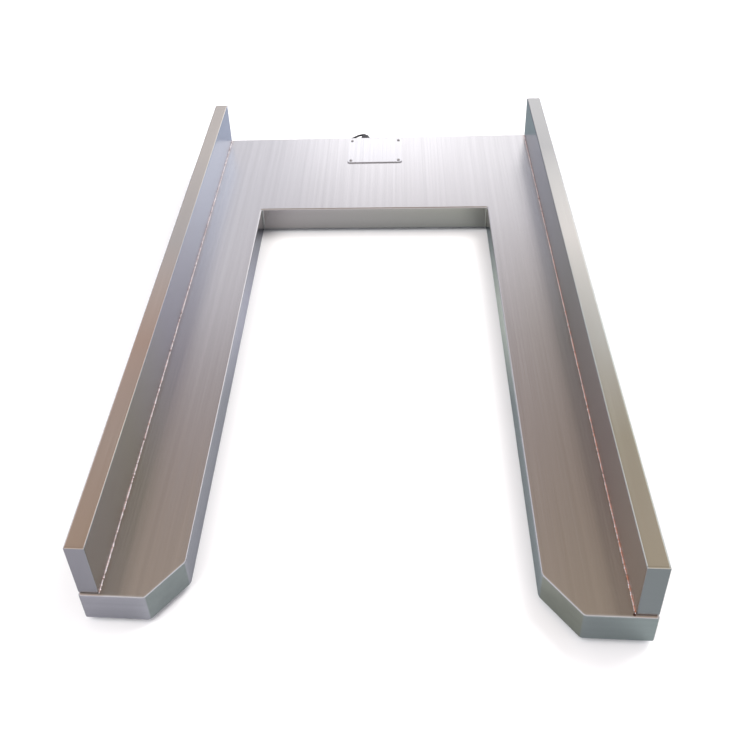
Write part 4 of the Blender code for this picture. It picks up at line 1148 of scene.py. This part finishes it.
def add_connector():
    """A round cable connector: clamp nut, knurled coupling ring, black insert and its pins."""
    placing = Matrix.Translation((-0.3250, 0.7620, 0.0098)) @ Matrix.Rotation(math.radians(-90), 4, "Y")
    shell = [
        (CORD_BORE, 0.0), (0.0050, 0.0), (0.0055, 0.0006), (ribbed(0.0058, 0.0004, 12), 0.0020),
        (ribbed(0.0064, 0.0005, 12), 0.0105), (0.0064, 0.0118), (0.0066, 0.0122), (0.0080, 0.0140),
        (0.0082, 0.0146), (0.0082, 0.0196), (0.0077, 0.0200), (0.0077, 0.0208), (0.0082, 0.0212),
        (0.0082, 0.0256),
        (0.0090, 0.0268), (ribbed(0.0094, 0.0004, 36), 0.0276), (ribbed(0.0095, 0.0005, 36), 0.0290),
        (ribbed(0.0095, 0.0005, 36), 0.0440), (ribbed(0.0094, 0.0004, 36), 0.0454), (0.0092, 0.0460),
        (0.0090, 0.0478), (0.0087, 0.0480), (0.0080, 0.0480), (0.0078, 0.0477), (0.0078, 0.0400),
        (CORD_BORE, 0.0390),
    ]
    made = add_solid("connector_shell", lathe(shell, 144, placing=placing),
                     "nickel", ("signal_connector",), 30)
    insert = [(0, 0.0402), (0.0074, 0.0402), (0.0075, 0.0405), (0.0075, 0.0446), (0.0072, 0.0450),
              (0, 0.0450)]
    face = add_solid("connector_insert", lathe(insert, placing=placing), "black", smooth_angle=35)
    pins = bmesh.new()
    for i in range(5):
        angle = math.radians(72 * i + 90)
        spot = placing @ Matrix.Translation((0.0042 * math.cos(angle), 0.0042 * math.sin(angle), 0))
        lathe([(0, 0.0445), (0.0006, 0.0445), (0.0006, 0.0470), (0.0003, 0.0475),
               (0, 0.0475)], 12, pins, spot)
    contacts = add_solid("connector_pins", pins, "brass", slot="nickel_plated_steel")
    return [made, face, contacts]


# ---------------------------------------------------------------- junction bay

WAYS = {"cell": (10, 0.6205, -1), "output": (5, 0.6785, 1)}
TERMINAL_PITCH = 0.008
TERMINAL_TOP = BOARD_TOP + GAP + 0.011
WIRE_RADIUS = 0.0006


def add_bay_parts():
    """What shows in the bay when its cover is lifted: screws, trimmers, resistors, capacitors and wires."""
    heads = bmesh.new()
    for ways, y, _ in WAYS.values():
        for i in range(ways):
            spot = Matrix.Translation(((i - (ways - 1) / 2) * TERMINAL_PITCH, y, TERMINAL_TOP - 0.0019))
            screw_head(heads, spot, 0.0016, 0.0010, 0.0004)
    add_solid("terminal_screws", heads, "zinc", smooth_angle=35)

    fixings = bmesh.new()
    for across in (-1, 1):
        for along in (-1, 1):
            spot = Matrix.Translation((across * 0.050, BOARD_Y + along * 0.033, BOARD_TOP + 0.0001))
            screw_head(fixings, spot, 0.0028, 0.0020, 0.0007)
    add_solid("board_screws", fixings, "zinc", smooth_angle=35)

    trimmers, screws = bmesh.new(), bmesh.new()
    for i in range(4):
        x = (i - 1.5) * 0.020
        low, high = (x - 0.0048, 0.6405, BOARD_TOP + 0.0003), (x + 0.0048, 0.6453, BOARD_TOP + 0.0100)
        add_box(trimmers, low, high, 0.0004)
        spot = Matrix.Translation((x - 0.0032, 0.6429, BOARD_TOP + 0.0100))
        screw_head(screws, spot, 0.0012, 0.0008, 0.0003)
    add_solid("board_trimmers", trimmers, "blue")
    add_solid("trimmer_screws", screws, "brass", smooth_angle=35, slot="zinc_plated_steel")

    bodies, leads = bmesh.new(), bmesh.new()
    for i in range(6):
        add_resistor(bodies, leads, (i - 2.5) * 0.013, 0.6555, BOARD_TOP + 0.0016)
    add_solid("board_resistors", bodies, "beige")
    add_solid("board_leads", leads, "zinc")

    cans = bmesh.new()
    for x in (-0.040, 0.034, 0.044):
        spot = Matrix.Translation((x, 0.670, BOARD_TOP + 0.0002))
        lathe([(0, 0), (0.0030, 0), (0.0031, 0.0003), (0.0031, 0.0012), (0.0028, 0.0016), (0.0031, 0.0020),
               (0.0031, 0.0086), (0.0029, 0.0090), (0.0024, 0.0090), (0.0023, 0.0088), (0, 0.0088)],
              32, cans, spot)
    add_solid("board_capacitors", cans, "black", smooth_angle=35)
    add_bay_wires()


def screw_head(shape, placing, radius, height, depth):
    """A small domed screw head with a round recess."""
    lathe([(0, 0), (radius, 0), (radius, height * 0.6), (radius * 0.92, height * 0.9), (radius * 0.5, height),
           (radius * 0.42, height - depth), (0, height - depth)], 24, shape, placing)


def add_resistor(bodies, leads, x, y, z):
    """A small resistor that lies along Y, with its leads bent down into the board."""
    lying = Matrix.Translation((x, y, z)) @ UP_Y
    lathe([(0, -0.0032), (0.0008, -0.0032), (0.0012, -0.0029), (0.0012, -0.0021), (0.0009, -0.0017),
           (0.0009, 0.0017), (0.0012, 0.0021), (0.0012, 0.0029), (0.0008, 0.0032), (0, 0.0032)],
          20, bodies, lying)
    for end in (-1, 1):
        route = [(x, y + end * 0.0030, z), (x, y + end * 0.0042, z), (x, y + end * 0.0047, z - 0.0003),
                 (x, y + end * 0.0049, z - 0.0009), (x, y + end * 0.0049, BOARD_TOP)]
        sweep(route, 0.00028, 8, leads)


def bent(start, over, end):
    """Points along a smooth wire from start to end that is drawn towards `over`."""
    start, over, end = Vector(start), Vector(over), Vector(end)
    return [start * (1 - t) ** 2 + over * 2 * t * (1 - t) + end * t * t for t in (i / 14 for i in range(15))]


def add_bay_wires():
    """The cores of the four cell cables and of the signal cable, to their terminals."""
    colours = ("red", "white", "green", "black")
    shapes = {colour: bmesh.new() for colour in colours}
    for across in (-1, 1):
        for cable_x, ways in (
            (0.038, (0.0366, 0.0354, 0.0286, 0.0274)), (0.020, (0.0206, 0.0194, 0.0126, 0.0114)),
        ):
            for colour, way, lift in zip(colours, ways, (0.0008, -0.0008, 0.0008, -0.0008)):
                start = (across * cable_x, 0.6115, 0.0300 + lift)
                over = (across * (cable_x + way) / 2, 0.6140, 0.0312 + lift)
                end = (across * way, 0.6172, 0.0296)
                sweep(bent(start, over, end), WIRE_RADIUS, 8, shapes[colour])
    for i, colour in enumerate(colours):
        x = (i - 1.5) * TERMINAL_PITCH + 0.004
        start = (GLAND_X + 0.0010 * (i - 1.5), 0.7010, GLAND_Z - 0.0006)
        over = ((GLAND_X + 2 * x) / 3, 0.6990, 0.0300 + 0.002 * i)
        end = (x, 0.6822, 0.0298)
        sweep(bent(start, over, end), WIRE_RADIUS, 8, shapes[colour])
    for colour, shape in shapes.items():
        slot = "black_cable_jacket" if colour == "black" else "grey_cable_jacket"
        add_solid(f"bay_wires_{colour}", shape, colour, slot=slot)


# ---------------------------------------------------------------- assembly

NODE_FINISHES = {
    "arm_stiffener": "steel", "rear_cross_stiffener": "steel", "junction_tray": "steel",
    "cell_mount_block": "plain", "load_cell_cable": "grey_jacket", "load_cell": "nickel",
    "cell_bolt": "zinc", "summing_board": "board", "cell_terminals": "terminal",
    "output_terminals": "terminal",
}


def finish_nodes():
    """Each CAD node that still shows gets its material."""
    for name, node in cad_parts.items():
        start = next((key for key in NODE_FINISHES if name.startswith(key)), None)
        for slot in node.material_slots:
            slot.material = FINISHES[NODE_FINISHES.get(start, "steel")]


def main():
    add_camera()
    add_studio()
    make_materials()
    add_gland()
    add_signal_cable(add_connector())
    add_deck()
    add_floor_plate()
    add_guards()
    add_guard_welds()
    add_weld_crater()
    add_stitch_welds()
    add_cover()
    add_feet()
    add_bay_parts()
    finish_nodes()


main()
